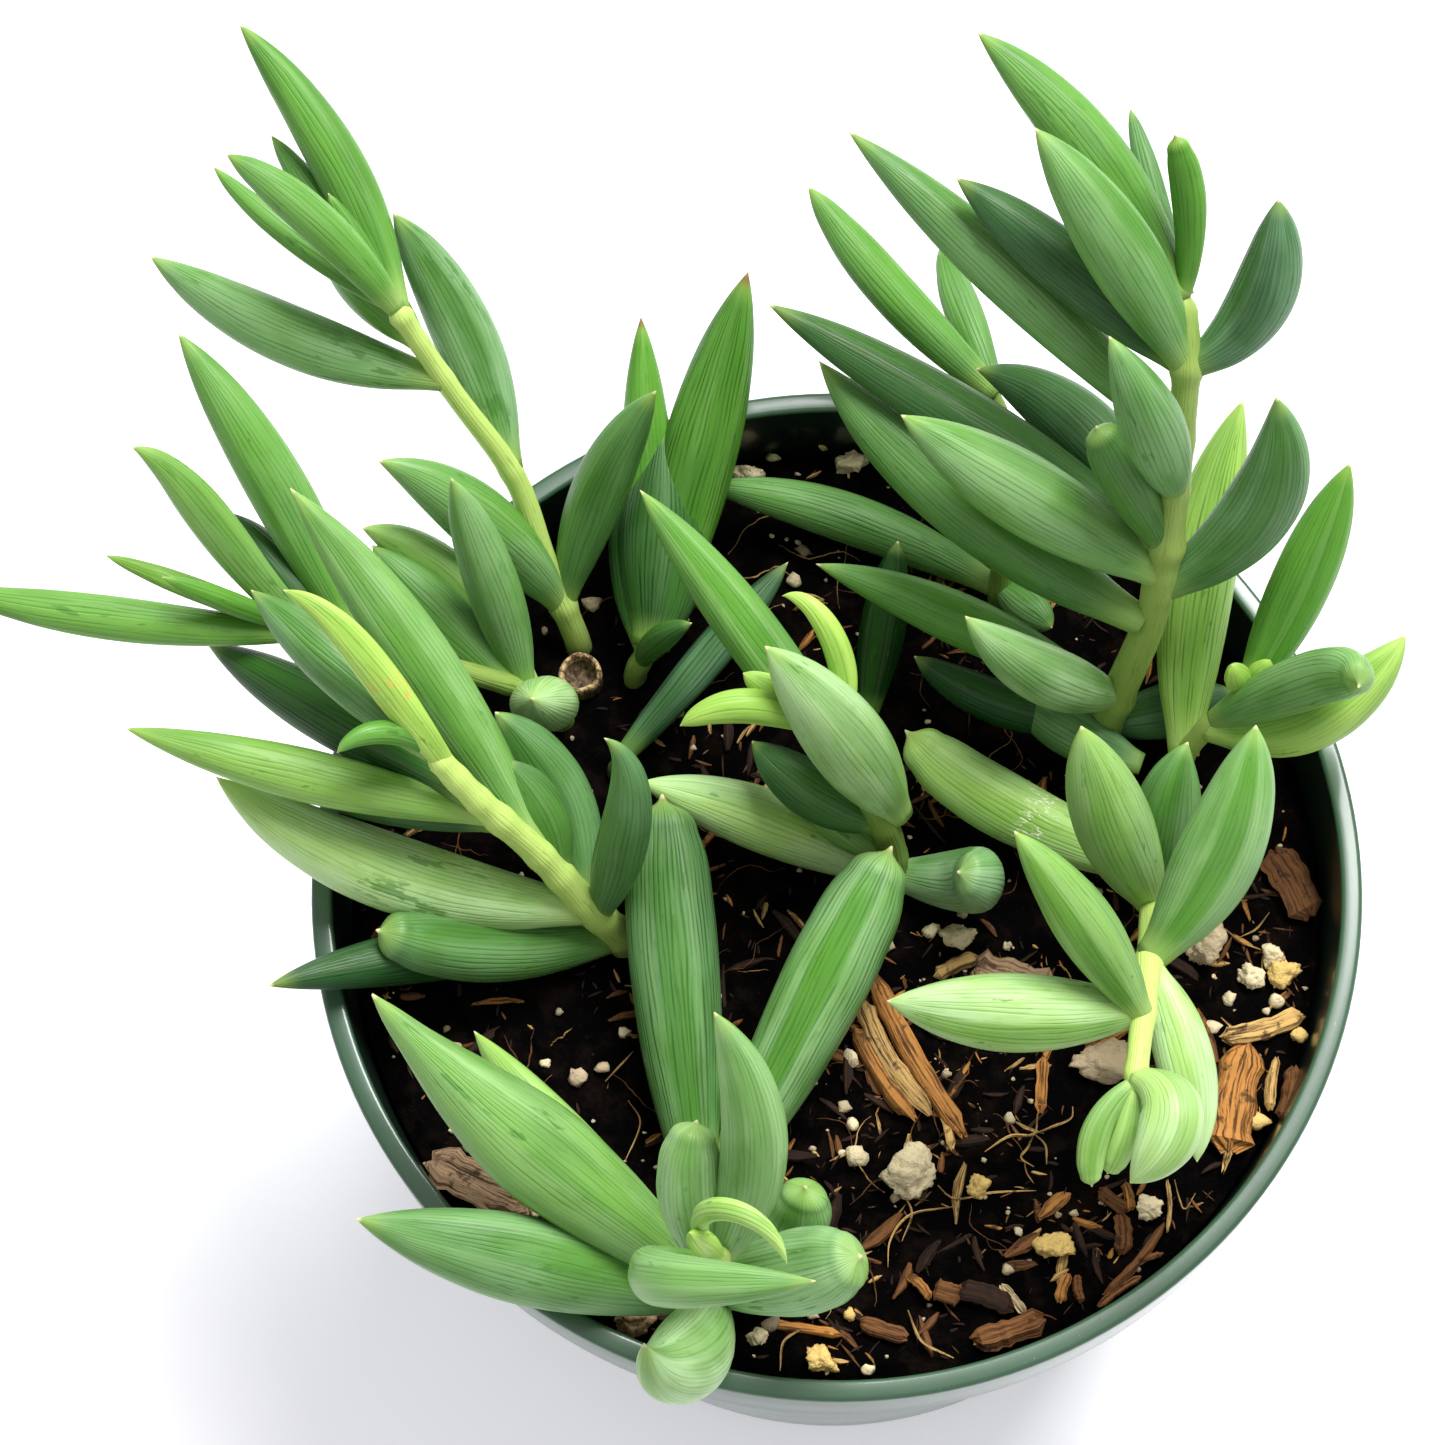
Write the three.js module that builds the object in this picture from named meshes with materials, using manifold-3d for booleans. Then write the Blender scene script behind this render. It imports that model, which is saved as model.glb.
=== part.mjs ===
// A potted fishhooks senecio: leafy succulent stems with fat hooked leaves, in soil in a round nursery pot.
// Millimetres, +Z up. The origin is the centre of the pot's underside, and the plant is seen from -Y.
import * as THREE from "three";
import { mergeVertices } from "three/addons/utils/BufferGeometryUtils.js";
import Module from "manifold-3d";

const wasm = await Module();
wasm.setup();

// Pot
const POT_HEIGHT = 88;
const RIM_RADIUS = 54;
const LIP_WIDTH = 2.2;
const SKIRT_HEIGHT = 11;
const BASE_RADIUS = 42.5;
const WALL = 1.2;
const FLOOR = 1.6;
const POT_SIDES = 48;
const DRAIN_HOLES = 6;
const DRAIN_RADIUS = 4;
const DRAIN_CIRCLE = 31;
const DRAIN_SIDES = 16;
const BASE_BEVEL = 1;
const LIP_ROUNDING = 0.4;
const SKIRT_DRAFT = 0.5;
const LIP_OVERHANG = 0.8;
const SKIRT_FOOT = POT_HEIGHT - SKIRT_HEIGHT;
const LIP_INSIDE = RIM_RADIUS - LIP_WIDTH;

// Soil
const SOIL_LEVEL = 79;
const SOIL_BUMP = 0.7;
const GAP = 0.35;
const SOIL_FOOT_INSET = 0.3;
const HOLE_DEPTH = 6;
const HOLE_EASE = 0.15;
const HOLE_SIDES = 12;
const SOIL_SIDES = 26;
const SOIL_RINGS = 4;
const CHIP_THICKNESS = 2.2;
const CHIP_RISE = 0.5;
const CHIP_TILT = 0.06;
const GRAIN_RISE = 0.2;

// Larger bark chips: where each is seen, its length and width, and its turn in degrees from +X.
const BARK_CHIPS = [
  [915, 1062, 18, 5, -58],
  [1290, 880, 10.5, 4.2, -72],
  [1240, 1100, 11, 5.5, 62],
  [1265, 1025, 9, 2.4, 14],
  [480, 1172, 10, 4.5, -28],
  [1010, 980, 9, 5, -20],
];

// Larger perlite grains: where each is seen, and its width in millimetres.
const PERLITE_GRAINS = [
  [915, 1168, 5.6], [1100, 1060, 5.2], [1207, 942, 5.4], [960, 935, 4.6], [1055, 1245, 3.4], [820, 1360, 3.4],
  [1285, 970, 3.6], [1250, 975, 3.2], [746, 472, 3.4], [850, 462, 3.4], [633, 1316, 4.4],
];

// Leaves and stems
const LEAF_SIDES = 7;
const SMALL_LEAF_SIDES = 6;
const SMALL_LEAF_WIDTH = 5;
const LEAF_THICKNESS = 0.82;
const STEM_SIDES = 8;
const STEM_TAPER = 0.72;
const STEM_ROOT_DEPTH = 5;

// Leaf outlines, as shares of the length and of the half width
const LEAF_PROFILE = [[0, 0.42], [0.18, 0.72], [0.42, 1], [0.68, 0.9], [0.88, 0.5], [1, 0.04]];
const BLUNT_LEAF_PROFILE = [[0, 0.42], [0.15, 0.68], [0.45, 1], [0.75, 0.97], [0.92, 0.62], [1, 0.08]];
const LONG_LEAF_PROFILE = [[0, 0.42], [0.25, 0.9], [0.5, 1], [0.7, 0.85], [0.86, 0.42], [1, 0.04]];
const SMALL_LEAF_PROFILE = [[0, 0.4], [0.2, 0.72], [0.5, 1], [0.82, 0.66], [1, 0.06]];

// The reference view: the eye and the point it looks at, its roll, and the picture's size and focal length
// in pixels. Stems and leaves are placed by where they are seen and by their height above the soil.
const EYE = new THREE.Vector3(0, -119.9, 491.8);
const AIM = new THREE.Vector3(-12.2, 16.3, POT_HEIGHT);
const ROLL = THREE.MathUtils.degToRad(-3.26);
const PICTURE = 1445;
const FOCAL = 4097.5;

const forward = AIM.clone().sub(EYE).normalize();
const level = new THREE.Vector3().crossVectors(forward, new THREE.Vector3(0, 0, 1)).normalize();
const rightward = level.clone().applyAxisAngle(forward, -ROLL);
const upward = new THREE.Vector3().crossVectors(rightward, forward);

// The point seen at a pixel, at a height above the soil.
function seen(across, down, height) {
  const ray = forward.clone()
    .addScaledVector(rightward, (across - PICTURE / 2) / FOCAL)
    .addScaledVector(upward, -(down - PICTURE / 2) / FOCAL);
  return EYE.clone().addScaledVector(ray, (SOIL_LEVEL + height - EYE.z) / ray.z);
}

// A leaf: how far up its stem it grows, counted in route points, or its root's place as pixel, pixel, height;
// where its tip is seen; the tip's height; its width; and the points that pull its midline aside.
function leaf(at, tip, height, width, ...pulls) {
  const profile = width < SMALL_LEAF_WIDTH ? SMALL_LEAF_PROFILE : LEAF_PROFILE;
  return { at, tip, height, width, pulls, profile };
}

function bluntLeaf(...given) {
  return { ...leaf(...given), profile: BLUNT_LEAF_PROFILE };
}

function longLeaf(...given) {
  return { ...leaf(...given), profile: LONG_LEAF_PROFILE };
}

// Each stem: its radius, its route from the soil up, as pixel, pixel, height, and its leaves.
const STEMS = {
  stem_back_left: {
    radius: 1.6,
    route: [[577, 640, 1], [545, 562, 10], [516, 480, 18], [450, 388, 28], [388, 296, 37]],
    leaves: [
      leaf(0.5, [378, 461], 27, 6.6, [465, 485, 22.5]),
      leaf(0.5, [656, 391], 27, 5.8, [596, 466, 17]),
      leaf(2.1, [393, 213], 38, 6.5, [474, 322, 24]),
      leaf(3.1, [150, 256], 34, 6.2, [290, 356, 28]),
      leaf(3.5, [320, 240], 27, 5.2),
      leaf(3.8, [239, 24], 46, 5.4, [352, 152, 38]),
      leaf(4, [226, 154], 49, 4.4, [318, 208, 46]),
      leaf(4, [213, 166], 40, 2.8, [262, 222, 38]),
      leaf(3.7, [271, 135], 38, 3.6),
      leaf(4, [328, 193], 42, 2.4),
    ],
  },
  stem_left: {
    radius: 1.5,
    route: [[560, 716, 1], [540, 694, 6], [480, 676, 12], [385, 650, 17], [292, 628, 21]],
    leaves: [
      leaf(1.3, [451, 478], 31, 5.6, [494, 580, 19]),
      leaf(0.4, [532, 699], 16, 7, [545, 703, 10]),
      leaf(1.2, [362, 528], 20, 5.8, [450, 550, 12]),
      leaf(1.6, [372, 545], 18, 5.8),
      leaf(3.3, [178, 333], 35, 6.2, [282, 478, 27]),
      leaf(3.6, [225, 512], 22, 5.6),
      leaf(3.8, [131, 447], 38, 4.4, [225, 560, 26], [185, 462, 36]),
      leaf(4, [-55, 590], 27, 4.5, [150, 632, 23]),
      leaf(4, [105, 555], 28, 2.4),
      leaf(4, [162, 577], 30, 2.4),
    ],
  },
  stem_front_left: {
    radius: 2,
    route: [[622, 938, 1], [587, 905, 9], [540, 855, 16], [478, 800, 24], [425, 745, 30]],
    leaves: [
      leaf(0.2, [268, 986], 16, 5.6, [420, 948, 8]),
      bluntLeaf(0.1, [376, 930], 15, 7, [480, 962, 6]),
      leaf(0.7, [604, 738], 30, 5.2, [622, 850, 20], [652, 765, 28]),
      leaf(0.9, [216, 777], 22, 7.8, [372, 900, 12]),
      leaf(1.1, [495, 712], 20, 7.6, [572, 792, 10]),
      leaf(1.6, [505, 760], 22, 5.4, [550, 812, 16]),
      leaf(2, [290, 488], 38, 6.6, [428, 652, 27]),
      leaf(2.6, [262, 768], 17, 5.6),
      leaf(2.7, [125, 728], 28, 5.2, [300, 778, 24]),
      leaf(3, [206, 642], 17, 6.2),
      leaf(3.4, [283, 590], 42, 3.7, [385, 690, 36], [345, 610, 41]),
      leaf(4, [303, 635], 29, 4.8),
      leaf(4, [251, 590], 32, 5.4),
      leaf(3.9, [337, 753], 34, 2.4, [398, 722, 33], [358, 728, 35]),
    ],
  },
  stem_back: {
    radius: 1.6,
    route: [[636, 672, 1], [645, 655, 4], [656, 640, 6]],
    leaves: [
      leaf(1.7, [748, 272], 24, 8, [690, 480, 9]),
      leaf(1.5, [664, 425], 14, 9.8, [672, 560, 7]),
      leaf(1.2, [642, 440], 12.5, 5.6, [626, 580, 5]),
      leaf(2, [641, 317], 19, 5.4, [648, 478, 10]),
      leaf(0.5, [692, 623], 13, 3, [655, 634, 11]),
    ],
  },
  stem_fallen: {
    radius: 1.4,
    route: [[617, 768, 1], [619, 762, 2.5], [622, 756, 3.6]],
    leaves: [
      leaf(1.5, [788, 562], 6.2, 4.2, [708, 658, 4.4]),
    ],
  },
  stem_centre: {
    radius: 1.9,
    route: [[893, 880, 1], [889, 838, 9], [866, 792, 17], [832, 740, 24], [800, 705, 28]],
    leaves: [
      leaf(0.1, [640, 782], 10, 6.7, [768, 814, 5]),
      bluntLeaf(0.2, [957, 872], 13, 6.6, [972, 888, 3], [1004, 877, 11]),
      leaf(0.6, [800, 765], 11, 6, [820, 800, 8]),
      leaf([898, 815, 12], [765, 646], 36, 8, [840, 722, 29]),
      leaf(1.3, [752, 741], 15, 5.8, [806, 798, 13]),
      leaf(2, [640, 490], 29, 5.9, [745, 620, 22]),
      leaf(3, [782, 596], 33, 2.8, [868, 680, 30], [820, 588, 36]),
      leaf(3.3, [680, 726], 30, 3.6, [742, 684, 33]),
      leaf(3.6, [743, 673], 31, 3.2),
    ],
  },
  stem_shaded: {
    radius: 1.4,
    route: [[866, 736, 1], [867, 722, 2.6], [868, 706, 4]],
    leaves: [
      leaf(1.4, [898, 541], 12, 4.8),
    ],
  },
  stem_front_pair: {
    radius: 2,
    route: [[718, 1192, 1], [718, 1184, 2.6], [717, 1176, 4]],
    leaves: [
      bluntLeaf([697, 1180, 3.5], [662, 794], 10, 9.2, [672, 975, 7.5]),
      bluntLeaf([727, 1173, 3.5], [892, 846], 12, 8.8, [812, 1010, 8]),
    ],
  },
  stem_front: {
    radius: 2,
    route: [[705, 1308, 1], [704, 1290, 9], [712, 1268, 19], [720, 1254, 28]],
    leaves: [
      leaf(0.6, [356, 1219], 20, 8.6, [520, 1262, 17]),
      leaf(1, [644, 1343], 30, 8.8, [726, 1344, 15], [650, 1414, 26]),
      longLeaf(1.3, [372, 994], 25, 10, [596, 1196, 17], [462, 1100, 22]),
      leaf(1.4, [474, 1031], 17, 5.6, [575, 1165, 17]),
      bluntLeaf(0.9, [805, 1186], 18, 6.6, [806, 1245, 8]),
      bluntLeaf(1.3, [862, 1256], 26, 8.2, [788, 1280, 19]),
      bluntLeaf(2, [697, 1120], 34, 6.2, [676, 1186, 30]),
      leaf(2.2, [714, 1012], 46, 6.4, [795, 1142, 36]),
      leaf(2.4, [816, 1281], 44, 5.2, [588, 1272, 34], [660, 1290, 46]),
      leaf(3, [787, 1264], 37, 2.2, [655, 1195, 40], [765, 1188, 44]),
      leaf(3, [690, 1233], 37, 2.6),
    ],
  },
  stem_right_front: {
    radius: 1.8,
    route: [[1160, 868, 1], [1154, 905, 11], [1149, 965, 19], [1140, 1040, 23], [1133, 1100, 24]],
    leaves: [
      bluntLeaf(0.2, [905, 730], 11, 6.8, [978, 812, 6]),
      leaf(0.6, [1188, 742], 22, 6.8, [1166, 785, 20]),
      leaf(1, [1081, 726], 32, 7.8, [1106, 822, 22]),
      leaf(1.9, [1256, 725], 33, 8.2, [1238, 860, 24]),
      leaf(2.7, [1014, 831], 38, 5.9, [1084, 914, 33]),
      leaf(2.6, [887, 1001], 27, 7.6, [1000, 1020, 25]),
      leaf(2, [1197, 1162], 15, 5.8, [1198, 1062, 18]),
      leaf(3.6, [1130, 1183], 24, 6.2, [1212, 1106, 27]),
      leaf(3.7, [1092, 1187], 21, 2.9, [1090, 1118, 24]),
      leaf(4, [1107, 1174], 20, 2.8, [1128, 1130, 23]),
    ],
  },
  stem_right: {
    radius: 1.5,
    route: [[1174, 784, 1], [1186, 752, 9], [1213, 722, 14], [1250, 690, 18]],
    leaves: [
      leaf(0.9, [1243, 400], 26, 7.6, [1186, 565, 17]),
      leaf(1.8, [1406, 635], 26, 6.6, [1326, 750, 20]),
      bluntLeaf(2, [1358, 688], 34, 5.6, [1300, 676, 26], [1374, 655, 33]),
      leaf(3, [1350, 463], 32, 6.2, [1304, 588, 22]),
      leaf(3, [1232, 665], 23, 2.8),
      leaf(3, [1270, 660], 22, 2.6),
    ],
  },
  stem_back_low: {
    radius: 1.5,
    route: [[1000, 596, 1], [1003, 540, 8], [1004, 460, 16], [995, 385, 22]],
    leaves: [
      leaf(0.15, [698, 485], 6.5, 5.4, [850, 500, 4.5]),
      leaf(3, [808, 186], 30, 4.9, [888, 300, 24]),
      leaf(3, [940, 246], 20, 4, [965, 320, 21]),
      leaf(0.2, [1052, 628], 5, 4.4),
    ],
  },
  stem_back_right: {
    radius: 2.1,
    route: [[1100, 735, 1], [1120, 690, 11], [1150, 620, 22], [1168, 540, 32], [1180, 440, 42],
         [1187, 350, 50], [1181, 285, 54]],
    leaves: [
      leaf([1142, 764, 5], [1008, 692], 6, 5.4, [1085, 745, 5]),
      leaf(0.3, [1235, 691], 8, 5.8, [1180, 710, 6]),
      leaf(0.4, [914, 656], 9, 4.8, [1000, 722, 5]),
      leaf(0.8, [816, 564], 18, 5.4, [960, 610, 14]),
      leaf(0.9, [965, 616], 30, 6.2, [1028, 684, 24]),
      leaf([1143, 622, 23], [819, 361], 33, 7.4, [935, 508, 27]),
      leaf(2.4, [1276, 397], 46, 7.2, [1308, 512, 34]),
      leaf(2.6, [901, 415], 42, 7.8, [1032, 502, 36]),
      leaf(2.9, [768, 304], 38, 6.2, [938, 398, 32]),
      bluntLeaf(2.9, [1096, 426], 46, 5),
      leaf(3, [976, 369], 30, 7, [1076, 390, 30]),
      leaf(3.5, [1109, 336], 58, 6.2, [1160, 430, 54]),
      leaf(4, [848, 131], 54, 5.8, [1020, 282, 48]),
      leaf(4.8, [956, 178], 56, 6, [1046, 246, 52]),
      leaf(4.8, [1035, 128], 66, 6.9, [1122, 242, 60]),
      leaf(4.8, [1278, 199], 64, 6.2, [1285, 322, 52]),
      leaf(6, [977, 32], 66, 6, [1106, 140, 60]),
      leaf(6, [1130, 108], 57, 3, [1152, 190, 57]),
      leaf(6, [1174, 134], 66, 3, [1202, 206, 60]),
    ],
  },
};

// A closed three.js mesh as a solid.
function solidOf(geometry) {
  const bare = geometry.clone().deleteAttribute("normal").deleteAttribute("uv");
  const merged = mergeVertices(bare, 1e-3);
  const made = new wasm.Manifold(new wasm.Mesh({
    numProp: 3,
    vertProperties: merged.attributes.position.array,
    triVerts: new Uint32Array(merged.index.array),
  }));
  if (made.volume() > 0) return made;
  merged.index.array.reverse();
  return solidOf(merged);
}

// A solid as a three.js geometry.
function geometryOf(solid) {
  const mesh = solid.getMesh();
  return new THREE.BufferGeometry()
    .setAttribute("position", new THREE.BufferAttribute(mesh.vertProperties, 3))
    .setIndex(new THREE.BufferAttribute(mesh.triVerts, 1));
}

// A turned profile, given as shares of the length and of the radius, bent to follow a curve. Its section is
// as wide as it is turned, square to the view, and `flat` times as thick.
function bentBody(curve, profile, radius, sides, flat, turnFrom) {
  const edge = profile.map(([along, share]) => new THREE.Vector2(share, along));
  const outline = [new THREE.Vector2(0, 0), ...edge, new THREE.Vector2(0, 1)];
  const turned = new THREE.LatheGeometry(outline, sides);
  const place = turned.getAttribute("position");
  for (let i = 0; i < place.count; i += 1) {
    const along = THREE.MathUtils.clamp(place.getY(i), 0, 1);
    const tangent = curve.getTangentAt(along);
    const side = turnFrom.clone().addScaledVector(tangent, -turnFrom.dot(tangent)).normalize();
    const front = new THREE.Vector3().crossVectors(tangent, side);
    const point = curve.getPointAt(along)
      .addScaledVector(side, place.getX(i) * radius)
      .addScaledVector(front, place.getZ(i) * radius * flat);
    place.setXYZ(i, point.x, point.y, point.z);
  }
  return solidOf(turned);
}

// The direction across a leaf, square to the way it runs and to the view.
function acrossOf(from, to) {
  const across = new THREE.Vector3().crossVectors(forward, to.clone().sub(from).normalize());
  return across.length() > 0.15 ? across.normalize() : rightward.clone();
}

// A Bezier curve from a leaf's root to its tip, pulled by up to two points between.
function leafCurve(root, spec) {
  const tip = seen(...spec.tip, spec.height);
  const pulls = spec.pulls.map((p) => seen(...p));
  if (pulls.length === 2) return new THREE.CubicBezierCurve3(root, pulls[0], pulls[1], tip);
  const pull = pulls[0] ?? root.clone().lerp(tip, 0.5);
  return new THREE.QuadraticBezierCurve3(root, pull, tip);
}

// A stem's own line: its route, with a straight foot down into the soil.
function stemCurve(route) {
  const points = route.map((p) => seen(...p));
  const foot = points[0].clone().setZ(SOIL_LEVEL - STEM_ROOT_DEPTH);
  return new THREE.CatmullRomCurve3([foot, ...points], false, "centripetal");
}

// The point of a stem's line that many route points up from the soil.
function stationOn(curve, at) {
  return curve.getPoint(Math.min((at + 1) / (curve.points.length - 1), 0.97));
}

// A stem fused with its leaves.
function leafyStem({ radius, route, leaves }) {
  const line = stemCurve(route);
  const rings = 2 * line.points.length;
  const shares = Array.from({ length: rings + 1 }, (_, i) => i / rings);
  const profile = shares.map((along) => [along, 1 - (1 - STEM_TAPER) * along]);
  let plant = bentBody(line, profile, radius, STEM_SIDES, 1, rightward);
  for (const spec of leaves) {
    const root = Array.isArray(spec.at) ? seen(...spec.at) : stationOn(line, spec.at);
    const curve = leafCurve(root, spec);
    const body = bentBody(
      curve,
      spec.profile,
      spec.width / 2,
      spec.width < SMALL_LEAF_WIDTH ? SMALL_LEAF_SIDES : LEAF_SIDES,
      LEAF_THICKNESS,
      acrossOf(root, curve.getPoint(1)),
    );
    plant = plant.add(body);
  }
  return plant;
}

// The pot: a tapered wall with a flat lip and a skirt round the rim, and drain holes in its floor.
function pot() {
  const profile = [
    [0, 0], [BASE_RADIUS - BASE_BEVEL, 0], [BASE_RADIUS, BASE_BEVEL],
    [LIP_INSIDE - LIP_OVERHANG + WALL, SKIRT_FOOT], [RIM_RADIUS - SKIRT_DRAFT, SKIRT_FOOT],
    [RIM_RADIUS, POT_HEIGHT - LIP_ROUNDING], [RIM_RADIUS - LIP_ROUNDING, POT_HEIGHT],
    [LIP_INSIDE + LIP_ROUNDING, POT_HEIGHT], [LIP_INSIDE, POT_HEIGHT - LIP_ROUNDING],
    [LIP_INSIDE - LIP_OVERHANG, SKIRT_FOOT], [BASE_RADIUS - WALL, FLOOR], [0, FLOOR],
  ].map(([r, z]) => new THREE.Vector2(r, z));
  let body = solidOf(new THREE.LatheGeometry(profile, POT_SIDES).rotateX(Math.PI / 2));
  for (let i = 0; i < DRAIN_HOLES; i += 1) {
    const turn = ((i + 0.5) / DRAIN_HOLES) * 2 * Math.PI;
    const hole = new THREE.CylinderGeometry(DRAIN_RADIUS, DRAIN_RADIUS, 4 * FLOOR, DRAIN_SIDES)
      .rotateX(Math.PI / 2)
      .translate(DRAIN_CIRCLE * Math.cos(turn), DRAIN_CIRCLE * Math.sin(turn), 0);
    body = body.subtract(solidOf(hole));
  }
  return body;
}

// The inside radius of the pot at a height.
function insideRadius(z) {
  const upper = LIP_INSIDE - LIP_OVERHANG;
  const lower = BASE_RADIUS - WALL;
  return THREE.MathUtils.mapLinear(Math.min(z, SKIRT_FOOT), FLOOR, SKIRT_FOOT, lower, upper);
}

// The soil's height above its level, at a place in the pot.
function soilBump(x, y) {
  return SOIL_BUMP * (Math.sin(0.21 * x + 0.9) * Math.cos(0.18 * y) + 0.5 * Math.sin(0.47 * x - 0.39 * y));
}

// The soil: a turned plug that fills the pot, with an uneven top, bark chips and perlite grains.
function soil() {
  const edge = insideRadius(SOIL_LEVEL) - GAP;
  const profile = [[0, FLOOR + GAP], [insideRadius(FLOOR) - GAP - SOIL_FOOT_INSET, FLOOR + GAP]];
  for (let i = 0; i < SOIL_RINGS; i += 1) profile.push([edge * (1 - i / SOIL_RINGS), SOIL_LEVEL]);
  profile.push([0, SOIL_LEVEL]);
  const outline = profile.map(([r, z]) => new THREE.Vector2(r, z));
  const turned = new THREE.LatheGeometry(outline, SOIL_SIDES).rotateX(Math.PI / 2);
  const place = turned.getAttribute("position");
  for (let i = 0; i < place.count; i += 1) {
    if (place.getZ(i) > FLOOR + 1) place.setZ(i, SOIL_LEVEL + soilBump(place.getX(i), place.getY(i)));
  }
  let body = solidOf(turned);
  for (const [across, down, length, width, turn] of BARK_CHIPS) {
    const at = seen(across, down, 1);
    const chip = new THREE.BoxGeometry(length, width, CHIP_THICKNESS).rotateY(CHIP_TILT)
      .rotateZ(THREE.MathUtils.degToRad(turn)).translate(at.x, at.y, SOIL_LEVEL + CHIP_RISE);
    body = body.add(solidOf(chip));
  }
  for (const [across, down, width] of PERLITE_GRAINS) {
    const at = seen(across, down, 1);
    const grain = new THREE.IcosahedronGeometry(width / 2, 0).scale(1, 0.85, 0.7)
      .translate(at.x, at.y, SOIL_LEVEL + soilBump(at.x, at.y) + GRAIN_RISE);
    body = body.add(solidOf(grain));
  }
  return body;
}

// A plain hole in the soil for a stem's foot.
function stemHole({ radius, route }) {
  const foot = seen(...route[0]);
  const height = 3 * HOLE_DEPTH;
  const wide = radius + GAP + HOLE_EASE;
  const bore = new THREE.CylinderGeometry(wide, wide, height, HOLE_SIDES).rotateX(Math.PI / 2);
  return solidOf(bore.translate(foot.x, foot.y, SOIL_LEVEL - HOLE_DEPTH + height / 2));
}

// A dry stub of an old cut stem, hollow at its top.
const STUB = { radius: 2.3, wall: 0.6, hollow: 1.6, bevel: 0.2, dish: 0.3, route: [[580, 672, 2.4]] };
const STUB_SIDES = 12;

function oldStub() {
  const foot = seen(...STUB.route[0]);
  const inner = STUB.radius - STUB.wall;
  const bottom = SOIL_LEVEL - STEM_ROOT_DEPTH;
  const top = foot.z;
  const profile = [
    [0, bottom], [STUB.radius, bottom],
    [STUB.radius, top - 2 * STUB.bevel], [STUB.radius - STUB.bevel, top],
    [inner, top], [inner, top - STUB.hollow], [0, top - STUB.hollow - STUB.dish],
  ].map(([r, z]) => new THREE.Vector2(r, z));
  const turned = new THREE.LatheGeometry(profile, STUB_SIDES).rotateX(Math.PI / 2);
  return solidOf(turned.translate(foot.x, foot.y, 0));
}

// Materials
function plain(color, roughness) {
  return new THREE.MeshStandardMaterial({ color, roughness, metalness: 0 });
}

const PLASTIC = plain(0x3f6f60, 0.45);
const EARTH = plain(0x2a1d16, 0.95);
const LEAF_GREEN = plain(0x5f9f52, 0.5);
const DRY = plain(0x8a6a4c, 0.9);

const plant = new THREE.Group();

function addPiece(name, solid, material) {
  const piece = new THREE.Mesh(geometryOf(solid), material);
  piece.name = name;
  plant.add(piece);
}

for (const [name, stem] of Object.entries(STEMS)) addPiece(name, leafyStem(stem), LEAF_GREEN);
addPiece("pot", pot(), PLASTIC);
addPiece("old_stub", oldStub(), DRY);
const holes = [...Object.values(STEMS), STUB].map(stemHole);
addPiece("soil", holes.reduce((body, hole) => body.subtract(hole), soil()), EARTH);

export default plant;
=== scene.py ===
import math
import random

import bmesh
import bpy
import numpy as np
from mathutils import Matrix, Vector, noise


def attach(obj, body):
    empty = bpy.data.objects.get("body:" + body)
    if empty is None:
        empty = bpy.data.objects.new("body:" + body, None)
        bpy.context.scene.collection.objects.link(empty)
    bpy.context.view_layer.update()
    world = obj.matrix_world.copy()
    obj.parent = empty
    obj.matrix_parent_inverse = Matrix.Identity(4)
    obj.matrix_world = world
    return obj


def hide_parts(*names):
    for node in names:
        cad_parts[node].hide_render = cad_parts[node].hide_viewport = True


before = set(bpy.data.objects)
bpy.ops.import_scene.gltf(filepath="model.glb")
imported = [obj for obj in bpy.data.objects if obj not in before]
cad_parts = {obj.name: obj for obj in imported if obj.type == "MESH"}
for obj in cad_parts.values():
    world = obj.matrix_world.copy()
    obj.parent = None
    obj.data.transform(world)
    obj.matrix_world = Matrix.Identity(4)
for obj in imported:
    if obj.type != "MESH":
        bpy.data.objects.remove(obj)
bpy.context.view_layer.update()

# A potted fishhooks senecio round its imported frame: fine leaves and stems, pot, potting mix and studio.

MM = 0.001

# The pot, in millimetres, as the frame has it. The wall stands a little inside the lip's inner edge.
POT_HEIGHT = 88.0
RIM_RADIUS = 54.0
LIP_INSIDE = RIM_RADIUS - 2.2
SKIRT_FOOT = POT_HEIGHT - 11.0
BASE_RADIUS = 42.5
WALL = 1.2
FLOOR = 1.6
INSIDE_TOP = LIP_INSIDE - 0.8
INSIDE_FOOT = BASE_RADIUS - WALL
WALL_SLOPE = (INSIDE_TOP - INSIDE_FOOT) / (SKIRT_FOOT - FLOOR)
DRAIN_HOLES = 6
DRAIN_RADIUS = 4.0
DRAIN_CIRCLE = 31.0

# The potting mix, in millimetres: how high it stands, and how far it sinks towards the pot's wall
SOIL_LEVEL = 79.0
GAP = 0.35
SOIL_SINK = 1.2
SINK_WIDTH = 2.5

# The stems, in millimetres, and as shares of their radius in the frame: they thin out to their bud, and
# swell a little where a leaf grows. The last two are shares of a stem's length: where its last leaf may
# grow, and how far apart its course is read for its direction.
STEM_ROOT_DEPTH = 5.0
STEM_TAPER = 0.66
STEM_SLIMNESS = 0.92
BUD_LENGTH = 2.6
SWELLING = 0.1
SWELLING_REACH = 1.1
LAST_LEAF = 0.97
NEAR = 0.03

# A leaf's section, in shares of its half width: a groove on the side that faces its stem's tip and a little
# upward, a low keel behind it, and slow waves. A width is a share of half a turn.
LEAF_THICKNESS = 0.82
UPWARD_TURN = 0.35
GROOVE_DEPTH, GROOVE_WIDTH = 0.05, 0.07
KEEL_HEIGHT, KEEL_WIDTH = 0.03, 0.12
WAVE_HEIGHT = 0.025

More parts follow.
